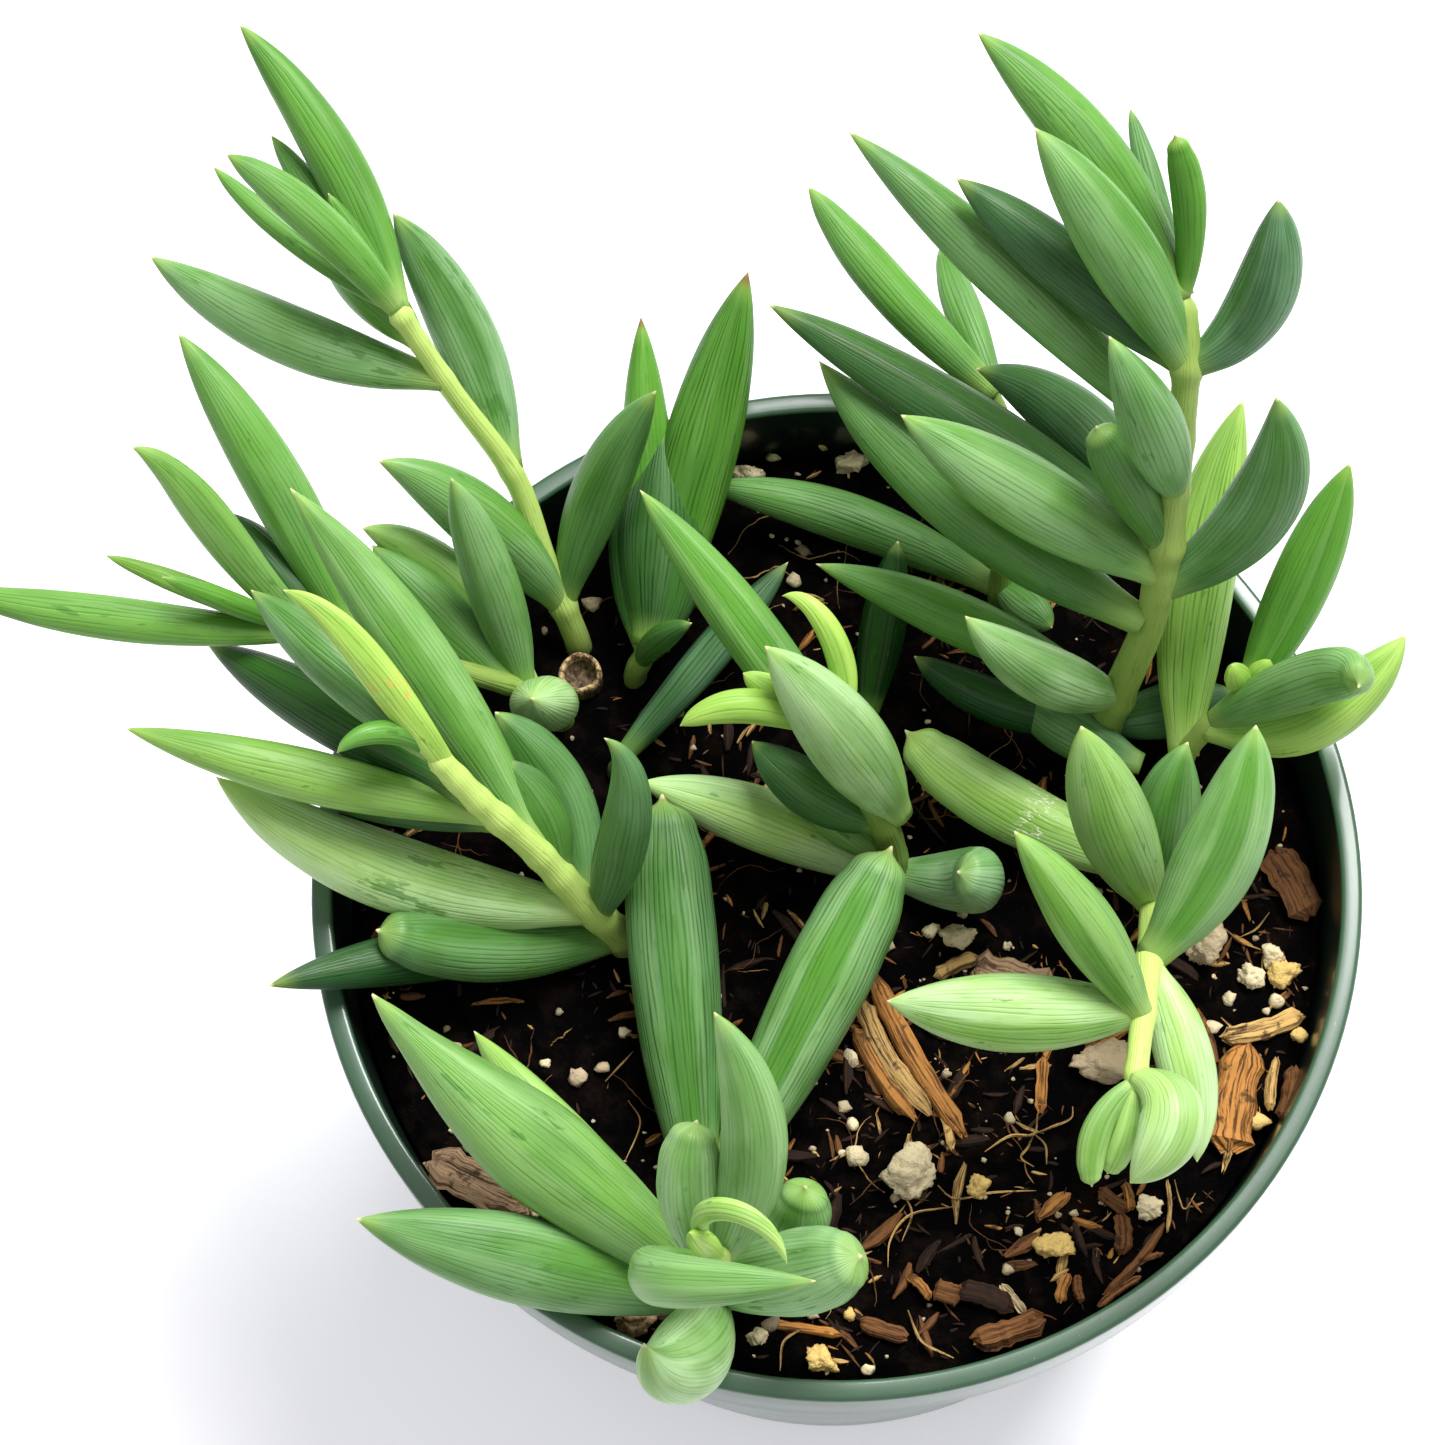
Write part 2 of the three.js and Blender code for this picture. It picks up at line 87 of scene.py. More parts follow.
# The photograph's view: the camera's place, what it looks at, its roll, and the picture's side and focal
# length in pixels
EYE = np.array([0.0, -119.9, 491.8])
AIM = np.array([-12.2, 16.3, POT_HEIGHT])
ROLL = math.radians(-3.26)
PICTURE = 1445
FOCAL = 4097.5

# Fineness of the meshes. A leaf's rings crowd towards its tip.
LEAF_RINGS = 44
LEAF_SIDES = 28
TIP_CROWDING = 1.6
STEM_RINGS = 100
STEM_SIDES = 20
POT_SIDES = 160
SOIL_RINGS = 150
SOIL_SIDES = 300

# How much lies on the soil beyond the pieces that are named one by one
SMALL_CHIPS = 1400
SMALL_GRAINS = 300
FIBRES = 80

# The stripes on a leaf's skin, 0.5 mm apart, as an angle for each millimetre
STRIPES_PER_MM = 2 * math.pi / 0.5

# A leaf's outline by its shape: the share of its length, and of its half width there
PROFILES = {
    "pointed": [(0, 0.42), (0.07, 0.5), (0.18, 0.72), (0.42, 1), (0.68, 0.9), (0.86, 0.55), (0.95, 0.24),
                (1, 0.01)],
    "small": [(0, 0.45), (0.2, 0.76), (0.5, 1), (0.8, 0.74), (0.94, 0.34), (1, 0.01)],
    "blunt": [(0, 0.42), (0.12, 0.62), (0.4, 0.95), (0.7, 1), (0.88, 0.78), (0.955, 0.46), (0.975, 0.16),
              (1, 0.02)],
    "long": [(0, 0.42), (0.1, 0.54), (0.3, 0.86), (0.5, 1), (0.68, 0.76), (0.86, 0.36), (0.95, 0.17),
             (1, 0.02)],
}
SMALL_LEAF_WIDTH = 5.0


def leaf(at, tip, height, width, tone, bloom, *pulls, stripe=0.5, window=0.4, rubbed=0.2, brown=0, scar=0,
         shape="pointed"):
    """A leaf: how far up its stem it grows, in route points, or its root's place; its tip's pixel and height
    above the soil; its width; its looks, from 0 to 1; and points that pull its midline aside. Tone runs from
    old and dark to young and bright, and its dark end also paints shade on leaves that lie in shade; the
    others are how strong its bloom, stripes, window line, rubbed marks and brown tip are. A scar is orange
    at 0.5 and white at 1."""
    if shape == "pointed" and width < SMALL_LEAF_WIDTH:
        shape = "small"
    return dict(at=at, tip=tip, height=height, width=width, pulls=pulls, looks=(tone, bloom, stripe, window),
                marks=(rubbed, brown, scar), profile=PROFILES[shape])


# Each stem: its radius, how bright it is, its route from the soil up, as pixel, pixel, height above the soil,
# and its leaves
STEMS = {
    "stem_back_left": dict(radius=1.6, tone=0.85, route=[
        (577, 640, 1), (545, 562, 10), (516, 480, 18), (450, 388, 28), (388, 296, 37),
    ], leaves=[
        leaf(0.5, (378, 461), 27, 6.6, 0.42, 0.4, (465, 485, 22.5)),
        leaf(0.5, (656, 391), 27, 5.8, 0.27, 0.2, (596, 466, 17)),
        leaf(2.1, (393, 213), 38, 6.5, 0.3, 0.7, (474, 322, 24), rubbed=1),
        leaf(3.1, (150, 256), 34, 6.2, 0.38, 0.5, (290, 356, 28), rubbed=0.8),
        leaf(3.5, (320, 240), 27, 5.2, 0.45, 0.1),
        leaf(3.8, (239, 24), 46, 5.4, 0.42, 0.05, (352, 152, 38), rubbed=0.6),
        leaf(4, (226, 154), 49, 4.4, 0.5, 0.15, (318, 208, 46)),
        leaf(4, (213, 166), 40, 2.8, 0.5, 0.1, (262, 222, 38)),
        leaf(3.7, (271, 135), 38, 3.6, 0.3, 0.1),
        leaf(4, (328, 193), 42, 2.4, 0.5, 0),
    ]),
    "stem_left": dict(radius=1.5, tone=0.45, route=[
        (560, 716, 1), (540, 694, 6), (480, 676, 12), (385, 650, 17), (292, 628, 21),
    ], leaves=[
        leaf(1.3, (451, 478), 31, 5.6, 0.42, 0.5, (494, 580, 19)),
        leaf(0.4, (532, 699), 16, 7, 0.7, 0.9, (545, 703, 10)),
        leaf(1.2, (362, 528), 20, 5.8, 0.7, 0.3, (450, 550, 12)),
        leaf(1.6, (372, 545), 18, 5.8, 0.4, 0.3),
        leaf(3.3, (178, 333), 35, 6.2, 0.5, 0.15, (282, 478, 27)),
        leaf(3.6, (225, 512), 22, 5.6, 0.15, 0.1),
        leaf(3.8, (131, 447), 38, 4.4, 0.62, 0.2, (225, 560, 26), (185, 462, 36)),
        leaf(4, (-55, 590), 27, 4.5, 0.58, 0.05, (150, 632, 23)),
        leaf(4, (105, 555), 28, 2.4, 0.7, 0),
        leaf(4, (162, 577), 30, 2.4, 0.45, 0),
    ]),
    "stem_front_left": dict(radius=2, tone=0.95, route=[
        (622, 938, 1), (587, 905, 9), (540, 855, 16), (478, 800, 24), (425, 745, 30),
    ], leaves=[
        leaf(0.2, (268, 986), 16, 5.6, 0, 0.1, (420, 948, 8)),
        leaf(0.1, (376, 930), 15, 7, 0.27, 0.35, (480, 962, 6), shape="blunt"),
        leaf(0.7, (604, 738), 30, 5.2, 0.22, 0.35, (622, 850, 20), (652, 765, 28)),
        leaf(0.9, (216, 777), 22, 7.8, 0.8, 0.9, (372, 900, 12), rubbed=0.8),
        leaf(1.1, (495, 712), 20, 7.6, 0.24, 0.35, (572, 792, 10)),
        leaf(1.6, (505, 760), 22, 5.4, 0.28, 0.2, (550, 812, 16)),
        leaf(2, (290, 488), 38, 6.6, 0.55, 0.35, (428, 652, 27)),
        leaf(2.6, (262, 768), 17, 5.6, 0.1, 0.1),
        leaf(2.7, (125, 728), 28, 5.2, 0.7, 0.1, (300, 778, 24)),
        leaf(3, (206, 642), 17, 6.2, 0.1, 0.05, stripe=1),
        leaf(3.4, (283, 590), 42, 3.7, 1, 0, (385, 690, 36), (345, 610, 41), scar=0.5),
        leaf(4, (303, 635), 29, 4.8, 0.35, 0.6),
        leaf(4, (251, 590), 32, 5.4, 0.28, 0.4),
        leaf(3.9, (337, 753), 34, 2.4, 0.5, 0.1, (398, 722, 33), (358, 728, 35)),
    ]),
    "stem_back": dict(radius=1.6, tone=0.35, route=[
        (636, 672, 1), (645, 655, 4), (656, 640, 6),
    ], leaves=[
        leaf(1.7, (748, 272), 24, 8, 0.33, 0, (690, 480, 9), stripe=1, brown=0.8),
        leaf(1.5, (664, 425), 14, 9.8, 0.15, 0.15, (672, 560, 7), stripe=1),
        leaf(1.2, (642, 440), 12.5, 5.6, 0.12, 0.1, (626, 580, 5)),
        leaf(2, (641, 317), 19, 5.4, 0.5, 0, (648, 478, 10), brown=0.8),
        leaf(0.5, (692, 623), 13, 3, 0.2, 0.1, (655, 634, 11)),
    ]),
    "stem_fallen": dict(radius=1.4, tone=0.1, route=[
        (617, 768, 1), (619, 762, 2.5), (622, 756, 3.6),
    ], leaves=[
        leaf(1.5, (788, 562), 6.2, 4.2, 0.02, 0.45, (708, 658, 4.4), stripe=1),
    ]),
    "stem_centre": dict(radius=1.9, tone=0.25, route=[
        (893, 880, 1), (889, 838, 9), (866, 792, 17), (832, 740, 24), (800, 705, 28),
    ], leaves=[
        leaf(0.1, (640, 782), 10, 6.7, 0.85, 0.8, (768, 814, 5)),
        leaf(0.2, (957, 872), 13, 6.6, 0.35, 0.95, (972, 888, 3), (1004, 877, 11), shape="blunt"),
        leaf(0.6, (800, 765), 11, 6, 0.6, 0.3, (820, 800, 8)),
        leaf((898, 815, 12), (765, 646), 36, 8, 0.62, 0.8, (840, 722, 29)),
        leaf(1.3, (752, 741), 15, 5.8, 0.15, 0.2, (806, 798, 13)),
        leaf(2, (640, 490), 29, 5.9, 0.52, 0.15, (745, 620, 22), window=1),
        leaf(3, (782, 596), 33, 2.8, 1, 0, (868, 680, 30), (820, 588, 36)),
        leaf(3.3, (680, 726), 30, 3.6, 0.9, 0, (742, 684, 33)),
        leaf(3.6, (743, 673), 31, 3.2, 0.9, 0),
    ]),
    # Painted shade: this leaf lies in deep shade, and its darkest tone paints that shade.
    "stem_shaded": dict(radius=1.4, tone=0.05, route=[
        (866, 736, 1), (867, 722, 2.6), (868, 706, 4),
    ], leaves=[
        leaf(1.4, (898, 541), 12, 4.8, 0, 0),
    ]),
    "stem_front_pair": dict(radius=2, tone=0.3, route=[
        (718, 1192, 1), (718, 1184, 2.6), (717, 1176, 4),
    ], leaves=[
        leaf((697, 1180, 3.5), (662, 794), 10, 9.2, 0.24, 0.35, (672, 975, 7.5), stripe=1, window=0.6,
             brown=0.2, shape="blunt"),
        leaf((727, 1173, 3.5), (892, 846), 12, 8.8, 0.34, 0.5, (812, 1010, 8), stripe=0.9, window=1,
             brown=0.2, shape="blunt"),
    ]),
    "stem_front": dict(radius=2, tone=0.7, route=[
        (705, 1308, 1), (704, 1290, 9), (712, 1268, 19), (720, 1254, 28),
    ], leaves=[
        leaf(0.6, (356, 1219), 20, 8.6, 0.33, 0.45, (520, 1262, 17)),
        leaf(1, (644, 1343), 30, 8.2, 0.6, 1, (726, 1344, 15), (650, 1405, 26)),
        leaf(1.3, (372, 994), 25, 10, 0.6, 0.25, (596, 1196, 17), (462, 1100, 22), shape="long"),
        leaf(1.4, (474, 1031), 17, 5.6, 0.75, 0.2, (575, 1165, 17)),
        leaf(0.9, (805, 1186), 18, 6.6, 0.42, 0.5, (806, 1245, 8), shape="blunt"),
        leaf(1.3, (862, 1256), 26, 8.2, 0.43, 0.7, (788, 1280, 19), shape="blunt"),
        leaf(2, (697, 1120), 34, 6.2, 0.55, 0.65, (676, 1186, 30), shape="blunt"),
        leaf(2.2, (714, 1012), 46, 6.4, 0.52, 0.5, (795, 1142, 36)),
        leaf(2.4, (816, 1281), 44, 5.2, 0.52, 0.4, (588, 1272, 34), (660, 1290, 46)),
        leaf(3, (787, 1264), 37, 2.2, 1, 0.3, (655, 1195, 40), (765, 1188, 44)),
        leaf(3, (690, 1233), 37, 2.6, 1, 0),
    ]),
    "stem_right_front": dict(radius=1.8, tone=0.95, route=[
        (1160, 868, 1), (1154, 905, 11), (1149, 965, 19), (1140, 1040, 23), (1133, 1100, 24),
    ], leaves=[
        leaf(0.2, (905, 730), 11, 6.8, 0.8, 0.4, (978, 812, 6), brown=0.25, scar=1, shape="blunt"),
        leaf(0.6, (1188, 742), 22, 6.8, 0.32, 0.3, (1166, 785, 20)),
        leaf(1, (1081, 726), 32, 7.8, 0.68, 0.35, (1106, 822, 22)),
        leaf(1.9, (1256, 725), 33, 8.2, 0.46, 0.45, (1238, 860, 24), window=0.8),
        leaf(2.7, (1014, 831), 38, 5.9, 0.65, 0.2, (1084, 914, 33), window=1),
        leaf(2.6, (887, 1001), 27, 7.6, 0.75, 0.85, (1000, 1020, 25), window=0.8),
        leaf(2, (1197, 1162), 15, 5.8, 0.9, 1, (1198, 1062, 18)),
        leaf(3.6, (1130, 1183), 24, 6.2, 0.8, 0.9, (1212, 1106, 27)),
        leaf(3.7, (1092, 1187), 21, 2.9, 0.7, 0.3, (1082, 1122, 24), shape="blunt"),
        leaf(4, (1107, 1174), 20, 2.8, 0.75, 0.3, (1130, 1134, 23), shape="blunt"),
    ]),
    "stem_right": dict(radius=1.5, tone=0.6, route=[
        (1174, 784, 1), (1186, 752, 9), (1213, 722, 14), (1250, 690, 18),
    ], leaves=[
        leaf(0.9, (1243, 400), 26, 7.6, 0.8, 0.1, (1186, 565, 17), stripe=0.9),
        leaf(1.8, (1406, 635), 26, 6.6, 0.85, 0.1, (1326, 750, 20)),
        leaf(2, (1358, 688), 34, 5.6, 0.42, 0.4, (1300, 676, 26), (1374, 655, 33), shape="blunt"),
        leaf(3, (1350, 463), 32, 6.2, 0.42, 0, (1304, 588, 22), window=1),
        leaf(3, (1232, 665), 23, 2.8, 1, 0),
        leaf(3, (1270, 660), 22, 2.6, 0.8, 0),
    ]),
    "stem_back_low": dict(radius=1.5, tone=0.3, route=[
        (1000, 596, 1), (1003, 540, 8), (1004, 460, 16), (995, 385, 22),
    ], leaves=[
        leaf(0.15, (698, 485), 6.5, 5.4, 0.32, 0.25, (850, 500, 4.5), stripe=0.8),
        leaf(3, (808, 186), 30, 4.9, 0.42, 0.15, (888, 300, 24)),
        leaf(3, (940, 246), 20, 4, 0.36, 0.2, (965, 320, 21)),
        leaf(0.2, (1052, 628), 5, 4.4, 0.35, 0.3),
    ]),
    "stem_back_right": dict(radius=2.1, tone=0.5, route=[
        (1100, 735, 1), (1120, 690, 11), (1150, 620, 22), (1168, 540, 32), (1180, 440, 42), (1187, 350, 50),
        (1181, 285, 54),
    ], leaves=[
        leaf((1142, 764, 5), (1008, 692), 6, 5.4, 0.25, 0.5, (1085, 745, 5)),
        leaf(0.3, (1235, 691), 8, 5.8, 0.1, 0.25, (1180, 710, 6)),
        leaf(0.4, (914, 656), 9, 4.8, 0, 0.1, (1000, 722, 5)),
        leaf(0.8, (816, 564), 18, 5.4, 0.42, 0.15, (960, 610, 14)),
        leaf(0.9, (965, 616), 30, 6.2, 0.55, 0.8, (1028, 684, 24)),
        leaf((1143, 622, 23), (819, 361), 33, 7.4, 0.3, 0.2, (935, 508, 27)),
        leaf(2.4, (1276, 397), 46, 7.2, 0.22, 0.4, (1308, 512, 34)),
        leaf(2.6, (901, 415), 42, 7.8, 0.5, 0.45, (1032, 502, 36)),
        leaf(2.9, (768, 304), 38, 6.2, 0.15, 0.15, (938, 398, 32), window=0.8),
        leaf(2.9, (1096, 426), 46, 5, 0.28, 0.2, shape="blunt"),
        leaf(3, (976, 369), 30, 7, 0.12, 0.3, (1076, 390, 30)),
        leaf(3.5, (1109, 336), 58, 6.2, 0.32, 0.5, (1160, 430, 54)),
        leaf(4, (848, 131), 54, 5.8, 0.33, 0.35, (1020, 282, 48)),
        leaf(4.8, (956, 178), 56, 6, 0.1, 0.2, (1046, 246, 52)),
        leaf(4.8, (1035, 128), 66, 6.9, 0.4, 0.35, (1122, 242, 60)),
        leaf(4.8, (1278, 199), 64, 6.2, 0.12, 0.6, (1285, 322, 52)),
        leaf(6, (977, 32), 66, 6, 0.42, 0.15, (1106, 140, 60)),
        leaf(6, (1130, 108), 57, 2.6, 0.25, 0.3, (1152, 190, 57)),
        leaf(6, (1174, 134), 66, 3.2, 0.42, 0, (1202, 206, 60), brown=0.3, shape="blunt"),
    ]),
}

# The dry stub of an old stem: its radius, wall and place, and how rough it is: the bumps' height in metres,
# and how close they are
STUB = dict(radius=2.3, wall=0.6, at=(580, 672, 2.4), rough=0.00018, bumps=700)

# Bark chips and twigs: both ends as seen, width and thickness in millimetres, and colour
BARK_CHIPS = [
    (873, 976, 962, 1133, 2.4, 2.2, "orange"), (862, 1000, 929, 1110, 2.2, 2.0, "tan"),
    (856, 1026, 913, 1116, 2.0, 1.8, "orange"), (928, 1086, 952, 1148, 0.9, 0.9, "tan"),
    (1274, 850, 1310, 915, 4.2, 2.2, "brown"), (1222, 1037, 1302, 1014, 2.0, 1.6, "tan"),
    (1246, 1046, 1229, 1150, 4.6, 2.0, "orange"), (1260, 1057, 1224, 1169, 0.8, 1.2, "tan"),
    (1277, 1057, 1271, 1108, 1.2, 1.2, "tan"), (1294, 1066, 1283, 1118, 2.2, 1.6, "brown"),
    (1044, 1056, 1041, 1110, 1.3, 1.2, "orange"), (430, 1158, 528, 1206, 4.4, 2.2, "grey"),
    (975, 966, 1050, 990, 5.0, 2.2, "grey"), (936, 975, 978, 956, 1.5, 1.4, "tan"),
    (1100, 1189, 1128, 1209, 1.5, 1.2, "brown"), (1126, 1181, 1131, 1209, 1.0, 0.9, "orange"),
    (1121, 1213, 1122, 1252, 1.7, 1.2, "brown"), (1163, 1224, 1106, 1292, 1.0, 0.9, "brown"),
    (1163, 1252, 1128, 1270, 0.7, 0.7, "brown"), (1140, 1276, 1100, 1304, 0.8, 0.8, "brown"),
    (1168, 1179, 1168, 1229, 0.5, 0.5, "tan"), (960, 1288, 1013, 1307, 2.6, 1.6, "dark"),
    (974, 1339, 1042, 1317, 2.9, 1.8, "brown"), (1002, 1284, 1025, 1312, 1.0, 0.8, "straw"),
    (908, 1274, 930, 1297, 1.0, 0.9, "orange"), (935, 1288, 960, 1296, 2.2, 1.4, "brown"),
    (860, 1321, 906, 1336, 1.8, 1.3, "brown"), (763, 1322, 839, 1333, 1.0, 0.9, "orange"),
    (1060, 1301, 1068, 1273, 1.3, 0.9, "orange"), (1082, 1300, 1078, 1274, 1.0, 0.8, "brown"),
]

# Perlite grains that show: where each is seen, its width in millimetres, and its colour
PERLITE_GRAINS = [
    (915, 1168, 5.6, "cream"), (1100, 1060, 5.2, "dusty"), (1207, 942, 5.4, "dusty"),
    (960, 935, 4.6, "cream"), (1055, 1245, 3.4, "yellow"), (820, 1360, 3.4, "yellow"),
    (1285, 970, 3.6, "yellow"), (1250, 975, 3.2, "cream"), (746, 472, 3.4, "cream"), (850, 462, 3.4, "cream"),
    (633, 1316, 4.4, "tan"), (1150, 1205, 2.7, "cream"), (980, 1186, 2.8, "yellow"),
    (1258, 1122, 2.3, "yellow"), (1272, 955, 3.0, "cream"), (1230, 997, 1.6, "cream"),
    (930, 930, 2.2, "cream"), (858, 1155, 2.4, "cream"), (853, 1122, 1.6, "cream"), (773, 454, 1.5, "cream"),
    (823, 440, 2.1, "yellow"), (760, 1335, 2.6, "cream"), (850, 1057, 2.2, "cream"),
    (625, 1030, 1.5, "cream"), (577, 1075, 1.9, "dusty"), (602, 1065, 1.6, "dusty"),
    (545, 1062, 1.4, "cream"), (849, 1314, 1.7, "yellow"), (1299, 1035, 2.4, "yellow"),
    (1214, 1026, 1.9, "cream"), (1278, 1000, 1.9, "cream"), (868, 1369, 1.2, "cream"),
]

# Roots that show: the pixels that each passes, and its half width in millimetres
ROOTS = [
    ([(1038, 1112), (1034, 1133), (1010, 1136), (985, 1151)], 0.17),
    ([(1034, 1133), (1052, 1126), (1072, 1116), (1073, 1105)], 0.15),
    ([(1034, 1133), (1028, 1147), (1021, 1158), (1034, 1166)], 0.15),
    ([(1036, 1134), (1045, 1144), (1047, 1164)], 0.14), ([(1024, 1160), (1027, 1172), (1034, 1182)], 0.1),
    ([(938, 1184), (953, 1197), (992, 1192), (1036, 1190)], 0.14),
    ([(808, 1325), (784, 1342), (780, 1370)], 0.15), ([(908, 1309), (922, 1340), (954, 1357)], 0.17),
    ([(955, 1205), (908, 1215), (890, 1240), (888, 1266)], 0.14),
    ([(902, 1190), (912, 1212), (902, 1240)], 0.13), ([(1225, 927), (1242, 940), (1264, 949)], 0.14),
    ([(1270, 911), (1256, 928), (1240, 936)], 0.12),
    ([(1175, 1178), (1180, 1198), (1185, 1208), (1196, 1192)], 0.1),
    ([(628, 1100), (640, 1120), (625, 1160)], 0.1), ([(605, 1080), (622, 1062), (633, 1050)], 0.12),
]


def unit(v):
    return v / np.linalg.norm(v)


def circle(sides):
    """Even turns round a circle."""
    return 2 * math.pi * np.arange(sides) / sides


forward = unit(AIM - EYE)
level = unit(np.cross(forward, [0, 0, 1]))
above = np.cross(level, forward)
rightward = math.cos(ROLL) * level + math.sin(ROLL) * above
upward = math.cos(ROLL) * above - math.sin(ROLL) * level


def seen(across, down, height):
    """The point seen at a pixel, at a height above the soil."""
    ray = forward + rightward * (across - PICTURE / 2) / FOCAL - upward * (down - PICTURE / 2) / FOCAL
    return EYE + ray * (SOIL_LEVEL + height - EYE[2]) / ray[2]


def hermite(s, start, start_slope, end, end_slope):
    """A smooth way from a start to an end, with a slope at each."""
    return ((2 * s**3 - 3 * s**2 + 1) * start + (s**3 - 2 * s**2 + s) * start_slope
            + (3 * s**2 - 2 * s**3) * end + (s**3 - s**2) * end_slope)


def smooth_keys(keys, t):
    """A smooth curve through (place, value) keys, read at each t."""
    x = np.array([k[0] for k in keys], float)
    y = np.array([k[1] for k in keys], float)
    slope = np.gradient(y, x)
    i = np.clip(np.searchsorted(x, t, side="right") - 1, 0, len(x) - 2)
    h = x[i + 1] - x[i]
    s = (t - x[i]) / h
    return hermite(s, y[i], h * slope[i], y[i + 1], h * slope[i + 1])


def read_along(points, shares):
    """A polyline read at shares of its length, and its length."""
    length = np.concatenate([[0], np.cumsum(np.linalg.norm(np.diff(points, axis=0), axis=1))])
    wanted = shares * length[-1]
    return np.column_stack([np.interp(wanted, length, points[:, k]) for k in range(3)]), length[-1]


def bezier(points, t):
    """A Bezier curve of three or four points."""
    layer = [np.outer(np.ones_like(t), p) for p in points]
    while len(layer) > 1:
        layer = [a * (1 - t[:, None]) + b * t[:, None] for a, b in zip(layer, layer[1:])]
    return layer[0]


def through(points, t):
    """A centripetal Catmull-Rom curve through the points, for t from 0 to 1 with even shares a span."""
    p = [2 * points[0] - points[1], *points, 2 * points[-1] - points[-2]]
    place = t * (len(points) - 1)
    i = min(int(place), len(points) - 2)
    s = place - i
    a, b, c, d = p[i:i + 4]
    ab, bc, cd = (max(np.linalg.norm(v), 1e-6) ** 0.5 for v in (b - a, c - b, d - c))
    tb = ((b - a) / ab - (c - a) / (ab + bc) + (c - b) / bc) * bc
    tc = ((c - b) / bc - (d - b) / (bc + cd) + (d - c) / cd) * bc
    return hermite(s, b, tb, c, tc)


def frames_along(line, turn_from):
    """Tangent, side and front at each point of a line, with the side held square to a fixed direction."""
    tangent = np.gradient(line, axis=0)
    tangent /= np.linalg.norm(tangent, axis=1)[:, None]
    side = turn_from - tangent * (tangent @ turn_from)[:, None]
    side /= np.linalg.norm(side, axis=1)[:, None]
    return tangent, side, np.cross(tangent, side)


def tube(line, side, front, reach, turn, thickness=1.0):
    """Rings of points round a line, at a reach for each ring and turn."""
    return (line[:, None, :] + side[:, None, :] * (reach * np.cos(turn))[:, :, None]
            + front[:, None, :] * (reach * np.sin(turn))[:, :, None] * thickness)


def placed(name, data):
    """A new object in the scene."""
    thing = bpy.data.objects.new(name, data)
    bpy.context.scene.collection.objects.link(thing)
    return thing


def link(name, mesh, material, smooth=True):
    """A mesh as an object of the scene, in its material."""
    mesh.polygons.foreach_set("use_smooth", [smooth] * len(mesh.polygons))
    mesh.materials.append(material)
    return placed(name, mesh)


class Shape:
    """Vertices gathered into one mesh, with a UV map in millimetres and colour attributes for the looks."""

    def __init__(self):
        self.verts, self.faces, self.uvs = [], [], []
        self.colours = {"look": [], "place": [], "marks": []}
        self.count = 0

    def take(self, verts, *colours):
        """Takes in vertices with their look, place and marks, and gives the number of the first."""
        first = self.count
        self.verts.append(verts)
        for gathered, values in zip(self.colours.values(), colours):
            gathered.append(np.broadcast_to(values, (len(verts), 4)))
        self.count += len(verts)
        return first

    def rings(self, rings, u, v, look, place, marks=(0, 0, 0)):
        """Adds a closed tube. rings is (rings, sides, 3); u has sides + 1 values, and v one a ring."""
        n, sides, _ = rings.shape
        marks = (*marks, 1)
        base = self.take(rings.reshape(-1, 3), look.reshape(-1, 4), place.reshape(-1, 4), marks)
        for i in range(n - 1):
            low = base + i * sides
            high = low + sides
            for j in range(sides):
                k = (j + 1) % sides
                self.faces.append((low + j, low + k, high + k, high + j))
                self.uvs.append(((u[j], v[i]), (u[j + 1], v[i]), (u[j + 1], v[i + 1]), (u[j], v[i + 1])))
        for i in (0, n - 1):
            centre, *colours = (values[i].mean(axis=0) for values in (rings, look, place))
            centre = self.take(centre[None], *colours, marks)
            low = base + i * sides
            for j in range(sides):
                k = (j + 1) % sides
                self.faces.append((centre, low + k, low + j) if i == 0 else (centre, low + j, low + k))
                self.uvs.append(((u[j], v[i]), (u[j + 1], v[i]), (u[j], v[i])))

    def solid(self, verts, faces, colour):
        """Adds a small closed body of one colour, with its own flat UV."""
        base = self.take(verts, (*colour, 1), (0, 0, 0, 0), (0, 0, 0, 1))
        for face in faces:
            self.faces.append(tuple(base + f for f in face))
            self.uvs.append(tuple((verts[f][0], verts[f][1]) for f in face))

    def piece(self, name, material, smooth=True):
        """The gathered mesh as a Blender object, in metres."""
        mesh = bpy.data.meshes.new(name)
        mesh.from_pydata((np.concatenate(self.verts) * MM).tolist(), [], self.faces)
        flat = np.array([c for face in self.uvs for pair in face for c in pair], dtype=np.float32)
        mesh.uv_layers.new(name="grain").data.foreach_set("uv", flat)
        for label, values in self.colours.items():
            attribute = mesh.attributes.new(label, "FLOAT_COLOR", "POINT")
            attribute.data.foreach_set("color", np.concatenate(values).astype(np.float32).ravel())
        mesh.update()
        return link(name, mesh, material, smooth)


def places(t, away, window, is_leaf):
    """What the skin reads at each point: how far along and round it is, its window line, and if a leaf's."""
    return np.stack(np.broadcast_arrays(t[:, None], away, window, is_leaf), axis=-1)


